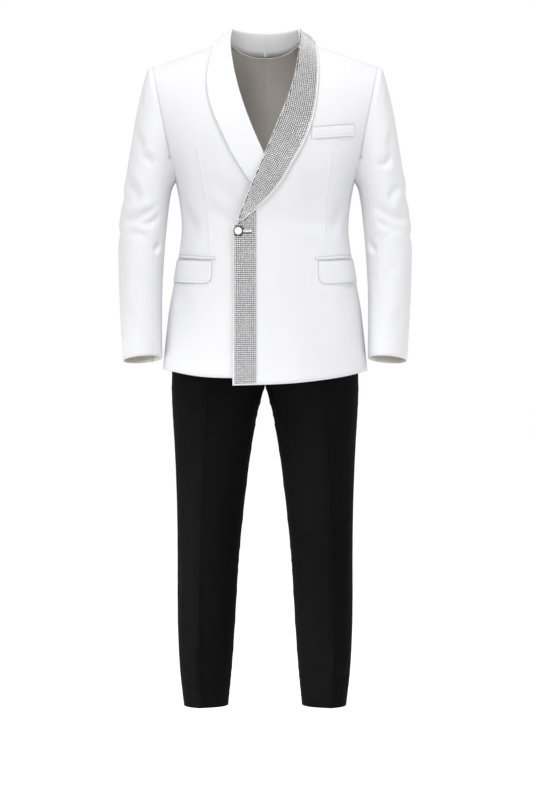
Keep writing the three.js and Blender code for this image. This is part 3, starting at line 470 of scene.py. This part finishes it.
# Jacket body.
# White wool twill over a thin lining: a back, a side and a front to each half, sewn at long seams that
# draw the waist in. It hangs from the shoulders and is pulled gently towards its one button.
WHITE_WOOL = twill(
    "white_twill",
    dark=(0.69, 0.69, 0.715),
    light=(0.73, 0.73, 0.75),
    height=0.1 * MM,
    rib=0.8 * MM,
    Specular_IOR_Level=0.2,
)


def lining_cloth():
    """Smooth lining with a faint vertical grain, in a warm grey-beige: white lining with painted shade,
    as it looks in the shade inside the cuffs.
    """
    shader = Shader("lining_satin", (0.62, 0.58, 0.53))
    grain = shader.noise(500, 2.0, (1, 1, 0.08))
    # painted shade: both colours are the white lining as it looks in shade
    shader.blend(grain, 0.3, 0.7, (0.6, 0.565, 0.52), (0.68, 0.645, 0.6))
    shader.rough(grain, 0.35, 0.5)
    shader.relief(grain, 0.05 * MM)
    return shader.material


LINING = lining_cloth()
# The same columns as the leg's form.
BODY = Form(
    [
        (40, 0, 0, 240, 100),
        (-120, 0, 0, 235, 112),
        (-290, 0, 5, 195, 124),
        (-400, 0, 8, 180, 108),
        (-560, 0, 5, 206, 128),
        (-750, 0, 0, 226, 142),
    ],
    turn_over=-70 * MM,
)
# The same columns as the leg's folds; the angle is 0 at the centre front and 90 at the left side.
BODY_FOLDS = [
    (-38, -350, -21, -392, 4, 2.8, 13),
    (-66, -345, -46, -416, 5, 3.8, 16),
    (-58, -540, -44, -590, 4, 2.1, 18),
    (-30, -300, -16, -372, 3, 1.7, 14),
    (4, -398, 44, -390, 4, 0.8, 12),
    (10, -430, 52, -452, -5, 1.7, 15),
    (60, -340, 44, -420, -5, 3.4, 16),
    (52, -250, 66, -330, 5, 2.4, 18),
    (-52, -252, -66, -330, -5, 2.5, 18),
    (56, -545, 44, -600, -4, 2.0, 18),
    (112, -380, 160, -400, 6, 2.8, 15),
    (-112, -384, -158, -398, -6, 2.8, 15),
    (118, -330, 150, -352, 5, 2.1, 15),
    (-120, -336, -150, -350, -5, 2.1, 15),
    (140, -240, 122, -300, 5, 2.3, 18),
    (-142, -238, -124, -300, -5, 2.3, 18),
    (170, -560, 164, -690, 3, 1.7, 20),
    (-168, -570, -172, -690, 3, 1.7, 20),
]


LOOKS_IN = -0.3  # a face turned further than this from the way out is lined


def line_inside(piece, form, side=1):
    """Puts the lining on the faces that look into the garment."""
    places = np.array([face.center for face in piece.data.polygons])
    looks = np.array([face.normal for face in piece.data.polygons])
    _, _, way = form.chart(places * [side, 1, 1])
    inner = np.einsum("ij,ij->i", looks, way * [side, 1, 1]) < LOOKS_IN
    piece.data.polygons.foreach_set("material_index", inner.astype(np.int32))


JACKET_CUT = {
    "jacket_front_left": ((0.34, 0.78), 0.1788),
    "jacket_side_left": ((0.16, 0.48), 0.0478),
    "jacket_back_left": ((0.28, 0.76), 0.1494),
    "jacket_back_right": ((0.28, 0.76), 0.1494),
    "jacket_side_right": ((0.16, 0.48), 0.0478),
    "jacket_front_right": ((0.34, 0.78), 0.1746),
}
round_body = list(JACKET_CUT)
jacket = sewn(round_body, seams=list(zip(round_body, round_body[1:])))
for node, (flat, area) in JACKET_CUT.items():
    piece = jacket[node]
    drape(piece, BODY, BODY_FOLDS, from_front=True)
    piece.data.materials.append(WHITE_WOOL)
    piece.data.materials.append(LINING)
    line_inside(piece, BODY)

# Sleeves.
# Two pieces of the same wool, a wide top and a narrow under sleeve, eased into the armhole over a soft
# roll of wadding and lined to the cuff. They hang in soft slanting folds about the elbow.
# The same columns as the leg's form.
SLEEVE = Form(
    [
        (-45, 232, 0, 45, 74),
        (-170, 240, 0, 48, 78),
        (-290, 252, -3, 50, 77),
        (-385, 263, -9, 52, 69),
        (-482, 266, -18, 50, 64),
        (-600, 264, -32, 46, 56),
        (-684, 261, -40, 43, 50),
    ],
    turn_over=-150 * MM,
)
# The same columns as the leg's folds; the angle is 0 at the outside of the arm and 90 at its front.
LEFT_SLEEVE_FOLDS = [
    (30, -95, 48, -142, 2, 2.6, 13),
    (44, -192, 66, -232, 4, 4.1, 11),
    (104, -264, 62, -244, 7, 6.1, 10),
    (84, -344, 46, -310, -5, 5.3, 11),
    (120, -356, 34, -378, 7, 6.9, 11),
    (122, -380, 72, -394, 5, 5.3, 9),
    (96, -413, 54, -402, -4, 4.1, 9),
    (152, -424, 128, -446, 3, 4.9, 8),
    (70, -470, 110, -520, 5, 2.8, 14),
    (40, -560, 80, -620, 5, 2.4, 16),
    (-40, -250, -96, -232, 6, 4.9, 12),
    (-30, -330, -92, -352, -6, 6.1, 12),
    (-52, -392, -110, -372, 6, 6.1, 11),
    (-48, -430, -104, -446, 5, 4.5, 11),
    (-20, -300, 14, -340, 5, 3.6, 13),
    (-14, -400, 20, -430, 5, 3.6, 12),
    (-60, -540, -90, -610, 5, 2.8, 15),
]
RIGHT_SLEEVE_FOLDS = [
    (26, -90, 44, -146, 2, 2.8, 13),
    (34, -194, 74, -236, 5, 4.5, 11),
    (72, -245, 106, -263, 4, 5.7, 9),
    (24, -290, 78, -340, 6, 5.7, 12),
    (36, -377, 126, -357, -8, 6.9, 11),
    (86, -393, 138, -371, -5, 5.7, 9),
    (58, -410, 108, -420, 5, 4.1, 9),
    (150, -430, 130, -450, -3, 4.9, 8),
    (76, -480, 104, -535, -5, 2.8, 14),
    (44, -570, 76, -630, 5, 2.4, 16),
    (-44, -242, -98, -226, 6, 4.9, 12),
    (-34, -322, -94, -346, -6, 6.1, 12),
    (-50, -386, -112, -366, 6, 6.1, 11),
    (-46, -426, -100, -442, 5, 4.5, 11),
    (-18, -310, 12, -346, 5, 3.6, 13),
    (-16, -396, 18, -424, 5, 3.6, 12),
    (-58, -550, -92, -620, 5, 2.8, 15),
]
# The armhole lies in one slanting plane: its middle, the way the sleeve leaves it, and its way up.
ARMHOLE_MIDDLE = np.array([218, 0, -169.7]) * MM
ARMHOLE_AXIS = np.array([0.979, 0, -0.202])
ARMHOLE_UP = np.array([0.202, 0, 0.979])
SEAM_LEFT = 0.1 * MM  # between the sleeve and the armhole once it is sewn in
SLEEVE_ROLL = 2.4 * MM  # how far the wadding lifts the sleeve's head beside the seam
ROLL_MIDDLE = 9 * MM  # from the seam
ROLL_WIDTH = 6.5 * MM
EASE_WIDTH = 14 * MM  # of the cloth that is drawn outwards or inwards to meet the armhole
DRAW_WIDTH = 8 * MM  # of the cloth that is drawn along the arm to meet it
EDGE_DEPTH = 1.2 * MM  # the cut edges lie within this of the armhole's plane
ARMHOLE_REACH = 128 * MM  # the body beyond this distance isn't the armhole's edge


def round_armhole(pieces, side):
    """Corners as depth past the armhole's plane, distance from its middle, and angle round it."""
    places = np.concatenate([corners_of(piece) for piece in pieces]) * [side, 1, 1] - ARMHOLE_MIDDLE
    up = places @ ARMHOLE_UP
    return places @ ARMHOLE_AXIS, np.hypot(up, places[:, 1]), np.arctan2(places[:, 1], up)


def outer_edge(depth, reach, angle, near):
    """The outermost of the near corners at every angle: its angle, distance and depth."""
    rows = []
    for middle in np.radians(np.arange(-180, 180, 5)):
        turned = np.abs((angle - middle + math.pi) % (2 * math.pi) - math.pi)
        found = np.flatnonzero(near & (turned < math.radians(4)))
        if len(found):
            best = found[np.argmax(reach[found])]
            rows.append((angle[best], reach[best], depth[best]))
    return np.array(sorted(rows)).T


def set_in(piece, side, hole, ring):
    """Draws the sleeve's first ring up to the armhole's edge and rolls the head over the seam."""
    depth, _, angle = round_armhole([piece], side)

    def apart(column):
        turn = 2 * math.pi
        wanted = np.interp(angle, hole[0], hole[column], period=turn)
        return wanted - np.interp(angle, ring[0], ring[column], period=turn)

    out = apart(1) * np.exp(-((np.maximum(depth, 0) / EASE_WIDTH) ** 2))
    head = np.clip(np.cos(angle), 0, 1)
    out += SLEEVE_ROLL * head * np.exp(-(((depth - ROLL_MIDDLE) / ROLL_WIDTH) ** 2))
    along = (apart(2) + SEAM_LEFT) * np.exp(-((depth / DRAW_WIDTH) ** 2))
    away = np.outer(np.cos(angle), ARMHOLE_UP) + np.outer(np.sin(angle), [0, 1, 0])
    move = away * out[:, None] + ARMHOLE_AXIS * along[:, None]
    piece.data.vertices.foreach_set("co", (corners_of(piece) + move * [side, 1, 1]).ravel())
    piece.data.update()


for name, side, folds in (("left", 1, LEFT_SLEEVE_FOLDS), ("right", -1, RIGHT_SLEEVE_FOLDS)):
    top, under = f"sleeve_top_{name}", f"sleeve_under_{name}"
    sleeve = sewn([top, under], seams=[(top, under)], rounds=3)
    body = [jacket[f"jacket_{part}_{name}"] for part in ("front", "side", "back")]
    depth, reach, angle = round_armhole(body, side)
    near = (np.abs(depth + EDGE_DEPTH) < 2 * MM) & (reach < ARMHOLE_REACH)
    hole = outer_edge(depth, reach, angle, near)
    depth, reach, angle = round_armhole(sleeve.values(), side)
    ring = outer_edge(depth, reach, angle, depth < EDGE_DEPTH)
    for node, flat, area in ((top, (0.33, 0.66), 0.1373), (under, (0.16, 0.5), 0.0478)):
        piece = sleeve[node]
        drape(piece, SLEEVE, folds, side)
        set_in(piece, side, hole, ring)
        piece.data.materials.append(WHITE_WOOL)
        piece.data.materials.append(LINING)
        line_inside(piece, SLEEVE, side)

# Pockets.
# Two straight flaps with a rounded front corner under a narrow jet, and a slanted welt on the left
# chest, all cut from the jacket's wool, turned through and pressed before they are sewn down.
POCKET_CUT = {
    "pocket_jet_left": ((0.115, 0.012), 0.0007),
    "pocket_jet_right": ((0.115, 0.012), 0.0007),
    "pocket_flap_left": ((0.15, 0.048), 0.0071),
    "pocket_flap_right": ((0.15, 0.048), 0.0071),
    "chest_pocket_welt": ((0.096, 0.026), 0.0024),
}
PRESSED = 1.3 * MM  # how much thinner a piece is at its edge, where it is turned and pressed
PRESSED_WIDTH = 3.5 * MM
SEATED = 0.7 * MM  # how much closer than the solid it lies to the jacket's front
LOOKS_OUT = 0.6  # faces turned no further than this from the way out are its face side


def press_edges(piece, form):
    """Thins a piece towards its edge, on the side that looks out."""
    places = corners_of(piece)
    _, _, way = form.chart(places)
    rim = set()
    outer = np.zeros(len(places), bool)
    for face in piece.data.polygons:
        looks = face.normal.dot(Vector(way[face.vertices[0]]))
        if looks > LOOKS_OUT:
            outer[list(face.vertices)] = True
        elif looks > -LOOKS_OUT:
            rim.update(face.vertices)
    tree = KDTree(len(rim))
    for k in rim:
        tree.insert(piece.data.vertices[k].co, k)
    tree.balance()
    low = np.zeros(len(places))
    for k, place in enumerate(places):
        _, _, low[k] = tree.find(Vector(place))
    sink = PRESSED * np.exp(-((low / PRESSED_WIDTH) ** 2)) * outer + SEATED
    piece.data.vertices.foreach_set("co", (places - way * sink[:, None]).ravel())
    piece.data.update()


for node, (flat, area) in POCKET_CUT.items():
    piece = sewn([node])[node]
    press_edges(piece, BODY)
    drape(piece, BODY, BODY_FOLDS, from_front=True)
    piece.data.materials.append(WHITE_WOOL)

# Front darts.
# Each front is taken in by a long dart from the chest to the pocket: the cloth is folded, sewn inside
# and pressed, so only a fine sunk line shows, with the cloth rounded a little on both sides of it.
# Across and height of the cloth over the sewn line; then each dart's line as x and z, from its top.
DART_SECTION = [(-7, -0.4), (-4, 0.5), (-1.2, 1.1), (0, 0.6), (0.8, 0), (1.6, 0.05), (5, 0.1), (7, -0.3)]
DARTS = {
    "left": [(139, -240), (132, -290), (126, -340), (124, -395), (122, -450)],
    "right": [(-145, -233), (-134, -290), (-125, -345), (-121, -395), (-118, -452)],
}
DART_STEP = 5
for name, turns in DARTS.items():
    front = Surface(jacket["jacket_front_" + name])
    line = points_on(front, turns, DART_STEP)
    strip("dart_" + name, line, DART_SECTION, WHITE_WOOL)

# Collar and lapels.
# One shawl collar, cut in a left and a right half that meet at the centre back. It stands round the
# neck, folds over and runs down each front to the button. The right half is plain white satin.


def satin_cloth():
    """White satin: smooth, with very fine threads along it and a soft broad gloss."""
    shader = Shader("white_satin", (0.75, 0.75, 0.76), Specular_IOR_Level=0.4)
    threads = shader.noise(1600, 2.0, (1, 1, 0.12))
    slow = shader.noise(14, 3.0)
    shader.blend(shader.sum(slow, 0.7, threads, 0.3), 0.3, 0.7, (0.72, 0.72, 0.73), (0.76, 0.76, 0.77))
    shader.rough(threads, 0.34, 0.5)
    shader.relief(threads, 0.04 * MM)
    return shader.material


WHITE_SATIN = satin_cloth()
lapels = sewn(["lapel_left", "lapel_right"], seams=[("lapel_left", "lapel_right")])
for name, slot in (("right", "jacket_satin"), ("left", "rhinestones")):
    piece = lapels["lapel_" + name]
    drape(piece, BODY, BODY_FOLDS, from_front=True)
    piece.data.materials.append(WHITE_SATIN)

# Stones.
# Small clear cut stones on silver foil, set close in straight rows on a dark silver net that is sewn to
# the left lapel and to the band down the front edge. On the lapel the rows follow its outer edge.
STONE_PITCH = 4.15  # millimetres, as are all the sizes of the stones and their rows
STONE_RADIUS = 1.85
TABLE_RADIUS = 1.0  # of the flat top facet
STONE_HEIGHT = 1.5
GIRDLE = 0.6  # height of the upright rim below the sloping facets
SIDES = 8
TILT = 0.13  # of a stone from true, at most, as a share of its radius
dice = np.random.default_rng(9)


def stone_net():
    """The net that carries the stones: dark silver, uneven from thread to thread."""
    shader = Shader("stone_net", (0.06, 0.06, 0.062), Metallic=0.3)
    threads = shader.noise(900, 2.0)
    shader.blend(threads, 0.3, 0.7, (0.05, 0.05, 0.05), (0.13, 0.13, 0.132))
    shader.rough(threads, 0.4, 0.6)
    shader.relief(threads, 0.2 * MM)
    return shader.material


def foil_stone():
    """A clear stone over foil: every facet has its own painted brightness, a painted reflection that
    stands in for the place it mirrors.
    """
    shader = Shader("cut_stone", (0.8, 0.8, 0.81), Metallic=0.4, Coat_Weight=0.6, Coat_Roughness=0.05)
    # painted reflection: the facet attribute sets each facet's colour from grey to white
    facet = shader.nodes.new("ShaderNodeAttribute")
    facet.attribute_name = "facet"
    shader.blend(facet.outputs["Fac"], 0.0, 1.0, (0.45, 0.45, 0.46), (1.0, 1.0, 1.0))
    shader.rough(facet.outputs["Fac"], 0.08, 0.2)
    return shader.material


STONE_NET = stone_net()
CUT_STONE = foil_stone()


def stones(name, seats):
    """One mesh of cut stones, one at each seat: a place, its way out and the way its row runs."""
    turn = 2 * math.pi / SIDES
    rings = [(STONE_RADIUS, 0, 0), (STONE_RADIUS, GIRDLE, 0), (TABLE_RADIUS, STONE_HEIGHT, 0.5)]
    places = []
    faces = []
    for place, out, row in seats:
        lean = Vector(dice.uniform(-TILT, TILT, 3))
        up = (out + lean).normalized()
        right = row.cross(up).normalized()
        ahead = up.cross(right)
        first = len(places)
        for radius, height, shift in rings:
            for k in range(SIDES):
                angle = (k + shift) * turn
                flat = right * math.cos(angle) + ahead * math.sin(angle)
                places.append(place + flat * (radius * MM) + up * (height * MM))
        girdle = first + SIDES
        table = first + 2 * SIDES
        for k in range(SIDES):
            after = (k + 1) % SIDES
            faces.append((first + k, first + after, girdle + after, girdle + k))
            faces.append((girdle + k, girdle + after, table + k))
            faces.append((girdle + after, table + after, table + k))
        faces.append(tuple(table + k for k in range(SIDES)))
    piece = new_piece(name, places, faces, CUT_STONE)
    # painted reflection: a random brightness for each face, which the cut stone's colour reads
    painted_reflection = piece.data.attributes.new("facet", "FLOAT", "FACE")
    brightness = dice.beta(1.5, 1.0, len(faces))
    painted_reflection.data.foreach_set("value", brightness)
    return piece


# The lapel from the centre back to the button, a row for each station: its fold and its outer edge.
LAPEL_STATIONS = [
    ((0, 59, 36), (0, 84, -34)),
    ((32, 54, 36.5), (43, 82, -31)),
    ((57, 38, 37), (80, 60, -20)),
    ((69, 20, 37), (100, 30, -7)),
    ((73.5, 0, 35), (106, 0, 4)),
    ((73, -14, 12), (110, -36, -14)),
    ((68.5, -60, -36), (113, -72, -60)),
    ((59, -90, -87), (111, -90, -106)),
    ((44, -108, -133), (104, -108, -154)),
    ((23.5, -124, -184), (88, -120, -206)),
    ((-1.4, -132, -246), (59, -134, -262)),
    ((-22, -140, -293), (29, -138, -310)),
    ((-43, -140, -344), (-7, -138, -350)),
    ((-60.5, -134, -386), (-50, -132, -388.5)),
]
EDGE_MARGIN = 3.2  # plain satin between the stones and the lapel's outer edge
FOLD_MARGIN = 2.2  # between the last row's middle and the lapel's fold


def smooth_line(rows, count):
    """A smooth curve through some places, as count places at even shares of its length."""
    rows = np.array(rows, float)
    reach = np.concatenate([[0], np.cumsum(np.linalg.norm(np.diff(rows, axis=0), axis=1))])
    slope = np.gradient(rows, reach, axis=0)
    where = np.linspace(0, reach[-1], count)
    index = np.clip(np.searchsorted(reach, where) - 1, 0, len(rows) - 2)
    width = (reach[index + 1] - reach[index])[:, None]
    t = (where - reach[index])[:, None] / width
    start, end = rows[index], rows[index + 1]
    bend = (slope[index] * (1 - t) - slope[index + 1] * t) * width - (end - start) * (1 - 2 * t)
    return start + (end - start) * t + bend * t * (1 - t)


LAPEL = Surface(lapels["lapel_left"])
STEPS = 400  # lines across the lapel, along which its cloth is found
SEARCH_GAP = 0.8  # between the places on such a line
BEFORE_EDGE = 6  # the search starts this far outside the edge
PAST_FOLD = 12  # and ends this far past the fold
FAR_OFF = 25 * MM  # cloth further than this from the line isn't the lapel's
JUMP = 4 * MM  # a larger step than this has left the lapel
both = smooth_line([fold + edge for fold, edge in LAPEL_STATIONS], STEPS)
fold_line, edge_line = both[:, :3], both[:, 3:]
lapel_width = np.linalg.norm(fold_line - edge_line, axis=1)


def across_lapel(station):
    """The lapel's cloth from its outer edge to its fold: places, ways out and distances."""
    to_fold = (fold_line[station] - edge_line[station]) / lapel_width[station]
    ahead = edge_line[min(station + 1, STEPS - 1)] - edge_line[max(station - 1, 0)]
    way = Vector(np.cross(to_fold, ahead)).normalized()
    line = []
    for inset in np.arange(-BEFORE_EDGE, lapel_width[station] + PAST_FOLD, SEARCH_GAP):
        spot = Vector((edge_line[station] + to_fold * inset) * MM)
        place, out = LAPEL.meets(spot, way)
        gone = place is None or (place - spot).length > FAR_OFF
        if gone or (line and (place - line[-1][0]).length > JUMP):
            if line:
                break
            continue
        line.append((place, out))
    places = np.array([place for place, _ in line])
    reach = np.concatenate([[0], np.cumsum(np.linalg.norm(np.diff(places, axis=0), axis=1))])
    return places, np.array([out for _, out in line]), reach / MM


lapel_lines = [across_lapel(station) for station in range(STEPS)]


def on_lapel(station, inset):
    """The place on the lapel that is inset millimetres inside its outer edge, and its way out."""
    places, outs, reach = lapel_lines[station]
    place = Vector([np.interp(inset, reach, places[:, k]) for k in range(3)])
    out = Vector([np.interp(inset, reach, outs[:, k]) for k in range(3)])
    return place, out.normalized()


def seats_along(line, pitch):
    """Seats pitch millimetres apart along a line of places on the cloth."""
    if len(line) < 3:
        return []
    places = np.array([place for place, _ in line])
    outs = np.array([out for _, out in line])
    reach = np.concatenate([[0], np.cumsum(np.linalg.norm(np.diff(places, axis=0), axis=1))])
    where = np.arange(pitch / 2, reach[-1] / MM - pitch / 2, pitch) * MM
    spots = np.stack([np.interp(where, reach, places[:, k]) for k in range(3)], axis=1)
    ways = np.stack([np.interp(where, reach, outs[:, k]) for k in range(3)], axis=1)
    rows = np.gradient(spots, axis=0) if len(spots) > 1 else [places[-1] - places[0]] * len(spots)
    return [
        (Vector(spot), Vector(way).normalized(), Vector(row).normalized())
        for spot, way, row in zip(spots, ways, rows)
    ]


lapel_seats = []
inset = EDGE_MARGIN + STONE_RADIUS
while inset < max(reach[-1] for _, _, reach in lapel_lines):
    row = []
    for station in range(STEPS):
        if inset < lapel_lines[station][2][-1] - FOLD_MARGIN:
            row.append(on_lapel(station, inset))
        else:
            lapel_seats += seats_along(row, STONE_PITCH)
            row = []
    lapel_seats += seats_along(row, STONE_PITCH)
    inset += STONE_PITCH
stones("lapel_stones", lapel_seats)

NET_COLUMNS = 30
NET_LIFT = 0.35 * MM  # above the satin
NET_MARGIN = 2.0  # of plain satin between the net and the fold
net_places = []
for station in range(0, STEPS, 2):
    reach = max(EDGE_MARGIN, lapel_lines[station][2][-1] - NET_MARGIN)
    for inset in np.linspace(EDGE_MARGIN, reach, NET_COLUMNS):
        place, out = on_lapel(station, inset)
        net_places.append(place + out * NET_LIFT)
net_faces = []
for i in range(STEPS // 2 - 1):
    for j in range(NET_COLUMNS - 1):
        a = i * NET_COLUMNS + j
        net_faces.append((a, a + 1, a + NET_COLUMNS + 1, a + NET_COLUMNS))
new_piece("lapel_net", net_places, net_faces, STONE_NET).data.shade_smooth()

# Band down the front edge.
# A straight strip of the same net and stones, sewn flat along the edge of the left front from under
# the lapel's tip down to the hem. Room is left in its rows for the button and its hole.
band = sewn(["front_band"])["front_band"]
drape(band, BODY, BODY_FOLDS, from_front=True)
BAND_COLUMNS = 11
band_low, band_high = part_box("front_band")
BAND = Surface(band)
BUTTON_X = -55.5
BUTTON_Z = -409
BUTTON_ROOM = 11  # from its middle, kept free of stones
SLIT = (-46, -28)  # of the buttonhole, from its button end
SLIT_ROOM = (2, 4)  # beyond its ends and above and below it
FIRST_ROW = 0.5  # from the band's lower end to the first stones


def off_button(place):
    """True where neither the button nor its hole needs the room."""
    x, z = place.x / MM, place.z / MM
    on_button = math.hypot(x - BUTTON_X, z - BUTTON_Z) < BUTTON_ROOM
    beside_slit = SLIT[0] - SLIT_ROOM[0] < x < SLIT[1] + SLIT_ROOM[0]
    on_slit = beside_slit and abs(z - BUTTON_Z) < SLIT_ROOM[1]
    return not on_button and not on_slit


band_seats = []
band_pitch = (band_high.x - band_low.x) / MM / BAND_COLUMNS
for column in range(BAND_COLUMNS):
    x = band_low.x / MM + (column + 0.5) * band_pitch
    z = band_low.z / MM + band_pitch / 2 + FIRST_ROW
    while True:
        place, out = BAND.from_front(x, z)
        if place is None:
            break
        covered, _ = LAPEL.from_front(x, z)
        if off_button(place) and (covered is None or covered.y > place.y):
            band_seats.append((place, out, Vector((0, 0, 1))))
        z += band_pitch
stones("band_stones", band_seats)
band.data.materials.append(STONE_NET)

# Piping.
# A fine white satin cord, sewn in along the whole outer edge of the stone lapel, from the centre back
# of the collar to the button.
PIPING_RADIUS = 1.5
PIPING_INSET = 0.8  # from the lapel's edge
PIPING_SUNK = 0.6 * MM  # below the face of the satin
ROUND = [
    (PIPING_RADIUS * math.cos(k * math.pi / 4), PIPING_RADIUS * math.sin(k * math.pi / 4))
    for k in range(8)
]
edge_places = [on_lapel(station, PIPING_INSET) for station in range(0, STEPS, 3)]
edge_places = [(place - out * PIPING_SUNK, out) for place, out in edge_places]
strip("lapel_piping", edge_places, ROUND, WHITE_SATIN, closed=True)

# Buttonhole.
# A slit across the band, with close white thread stitches worked over its upper and its lower edge.
# The button sits at the end that is nearer to the front edge.
STITCHES = 22
STITCH_REACH = [0.15, 0.7, 1.9, 2.6]  # from the slit, at the four places where a stitch bends
STITCH_HEIGHT = [0.9, 1.5, 1.5, 0.9]  # above the band at the same places
HALF_THREAD = 0.42
THREAD_ROUND = 0.35  # how much higher the middle of the thread is than its sides


def sewing_thread():
    """White sewing thread: a soft gloss, with the twist of its strands."""
    shader = Shader("white_thread", (0.86, 0.86, 0.86))
    twist = shader.ribs(0.35 * MM, "X", 1.0)
    shader.blend(twist, 0.0, 1.0, (0.78, 0.78, 0.78), (0.9, 0.9, 0.9))
    shader.rough(twist, 0.45, 0.6)
    shader.relief(twist, 0.08 * MM)
    return shader.material


THREAD = sewing_thread()
for side, name in ((1, "upper"), (-1, "lower")):
    places = []
    faces = []
    for k in range(STITCHES):
        x = SLIT[0] + (SLIT[1] - SLIT[0]) * (k + 0.5) / STITCHES
        seat, out = BAND.from_front(x, BUTTON_Z)
        first = len(places)
        for r, h in zip(STITCH_REACH, STITCH_HEIGHT):
            for across in (-HALF_THREAD, HALF_THREAD):
                places.append(seat + Vector((across * MM, 0, side * r * MM)) + out * (h * MM))
            places.append(seat + Vector((0, 0, side * r * MM)) + out * ((h + THREAD_ROUND) * MM))
        for r in range(3):
            a = first + 3 * r
            faces += [(a, a + 2, a + 5, a + 3), (a + 2, a + 1, a + 4, a + 5)]
    new_piece(f"buttonhole_{name}", places, faces, THREAD).data.shade_smooth()

# Button.
# One round button: a domed cap of pearl, set in a turned cup of dark metal whose rim shows round it.
# It is sewn to the right front and stands in the buttonhole.


def pearl():
    """Pearl: milky, with slow clouds of warm and cool white under a clear gloss."""
    shader = Shader("pearl", (0.85, 0.82, 0.8), Coat_Weight=0.5, Coat_Roughness=0.08)
    clouds = shader.noise(260, 3.0)
    shader.blend(clouds, 0.35, 0.65, (0.8, 0.77, 0.75), (0.9, 0.87, 0.85))
    shader.rough(clouds, 0.18, 0.3)
    shader.relief(clouds, 0.05 * MM)
    return shader.material


def dark_metal():
    """Dark polished metal with fine turning marks."""
    shader = Shader("dark_metal", (0.16, 0.15, 0.145), Metallic=1.0)
    marks = shader.noise(2600, 2.0)
    shader.blend(marks, 0.3, 0.7, (0.1, 0.095, 0.09), (0.24, 0.23, 0.22))
    shader.rough(marks, 0.22, 0.38)
    shader.relief(marks, 0.02 * MM)
    return shader.material


for node, material, slot in (
    ("button_cup", dark_metal(), "button_metal"),
    ("button_pearl", pearl(), "button_pearl"),
):
    part = sewn([node])[node]
    part.name = node + "_turned"
    part.data.materials.append(material)

# Floor, light and camera.
# A wide pale floor under a bright even studio: one large soft light on each side of the camera, one
# above, and a weak narrow one low at the side for the black cloth. The camera stands level with the
# middle of the suit, five metres in front of it.
FLOOR_Z = -1.548
FLOOR_HALF = 40
GLOW = 0.62  # of the floor behind the suit, so that it is as white as the wall
GLOW_STARTS = -2.2  # metres in front of the suit
GLOW_FULL = -0.4
floor_mesh = bpy.data.meshes.new("floor")
floor_mesh.from_pydata(
    [(FLOOR_HALF * x, FLOOR_HALF * y, FLOOR_Z) for x, y in ((-1, -1), (1, -1), (1, 1), (-1, 1))],
    [],
    [(0, 1, 2, 3)],
)
floor = bpy.data.objects.new("floor", floor_mesh)
bpy.context.scene.collection.objects.link(floor)
floor_paint = Shader("floor_paint", (0.9, 0.9, 0.9), Roughness=0.9)
floor_paint.surface.inputs["Emission Color"].default_value = (1, 1, 1, 1)
across_floor = floor_paint.nodes.new("ShaderNodeSeparateXYZ")
floor_paint.links.new(floor_paint.place, across_floor.inputs[0])
glow = floor_paint.nodes.new("ShaderNodeMapRange")
glow.interpolation_type = "SMOOTHSTEP"
glow.inputs["From Min"].default_value = GLOW_STARTS
glow.inputs["From Max"].default_value = GLOW_FULL
glow.inputs["To Min"].default_value = 0.0
glow.inputs["To Max"].default_value = GLOW
floor_paint.links.new(across_floor.outputs["Y"], glow.inputs["Value"])
floor_paint.links.new(glow.outputs["Result"], floor_paint.surface.inputs["Emission Strength"])
floor_paint.blend(floor_paint.noise(2, 2.0), 0.2, 0.8, (0.9, 0.9, 0.9), (0.92, 0.92, 0.92))
floor_mesh.materials.append(floor_paint.material)

CEILING = 0.4  # brightness of the studio overhead, where 1 is the white wall round it
WALL_TOP = 0.22  # how steeply up the wall ends, 1 being straight up
CEILING_STARTS = 0.5
world = bpy.data.worlds.new("studio")
bpy.context.scene.world = world
world.use_nodes = True
studio = world.node_tree
way_up = studio.nodes.new("ShaderNodeSeparateXYZ")
studio.links.new(studio.nodes.new("ShaderNodeTexCoord").outputs["Generated"], way_up.inputs[0])
height = studio.nodes.new("ShaderNodeMapRange")
height.interpolation_type = "SMOOTHSTEP"
height.inputs["From Min"].default_value = WALL_TOP
height.inputs["From Max"].default_value = CEILING_STARTS
height.inputs["To Min"].default_value = 1.0
height.inputs["To Max"].default_value = CEILING
studio.links.new(way_up.outputs["Z"], height.inputs["Value"])
studio.links.new(height.outputs["Result"], studio.nodes["Background"].inputs["Strength"])
studio.nodes["Background"].inputs["Color"].default_value = (1, 1, 1, 1)

# name, place, size, power, spread in degrees, what it points at, and whether gloss mirrors it.
LIGHTS = [
    ("key_light", (-1.2, -2.2, 2.2), 1.0, 52, 180, (0, 0, -0.5), False),
    ("fill_light", (2.4, -2.8, 0.4), 1.8, 22, 180, (0, 0, -0.7), True),
    ("top_light", (0.3, -1.0, 2.2), 0.9, 27, 180, (0, 0, -0.4), False),
    ("leg_light", (-2.2, -1.3, -1.25), 0.8, 2.5, 24, (0, 0, -1.25), False),
]
for name, place, size, power, spread, target, mirrored in LIGHTS:
    lamp = bpy.data.lights.new(name, "AREA")
    lamp.size = size
    lamp.energy = power
    lamp.spread = math.radians(spread)
    holder = bpy.data.objects.new(name, lamp)
    bpy.context.scene.collection.objects.link(holder)
    holder.visible_glossy = mirrored
    holder.location = place
    holder.rotation_euler = (Vector(target) - Vector(place)).to_track_quat("-Z", "Y").to_euler()

CAMERA_PLACE = (0.003, -5.0, -0.763)
VIEW_HEIGHT = 1.72  # of what the picture shows, at the suit
SENSOR_HEIGHT = 24
camera_data = bpy.data.cameras.new("camera")
camera_data.sensor_fit = "VERTICAL"
camera_data.sensor_height = SENSOR_HEIGHT
camera_data.lens = SENSOR_HEIGHT * -CAMERA_PLACE[1] / VIEW_HEIGHT
camera = bpy.data.objects.new("camera", camera_data)
bpy.context.scene.collection.objects.link(camera)
camera.location = CAMERA_PLACE
camera.rotation_euler = (math.pi / 2, 0, 0)
bpy.context.scene.camera = camera
bpy.context.scene.view_settings.view_transform = "Standard"
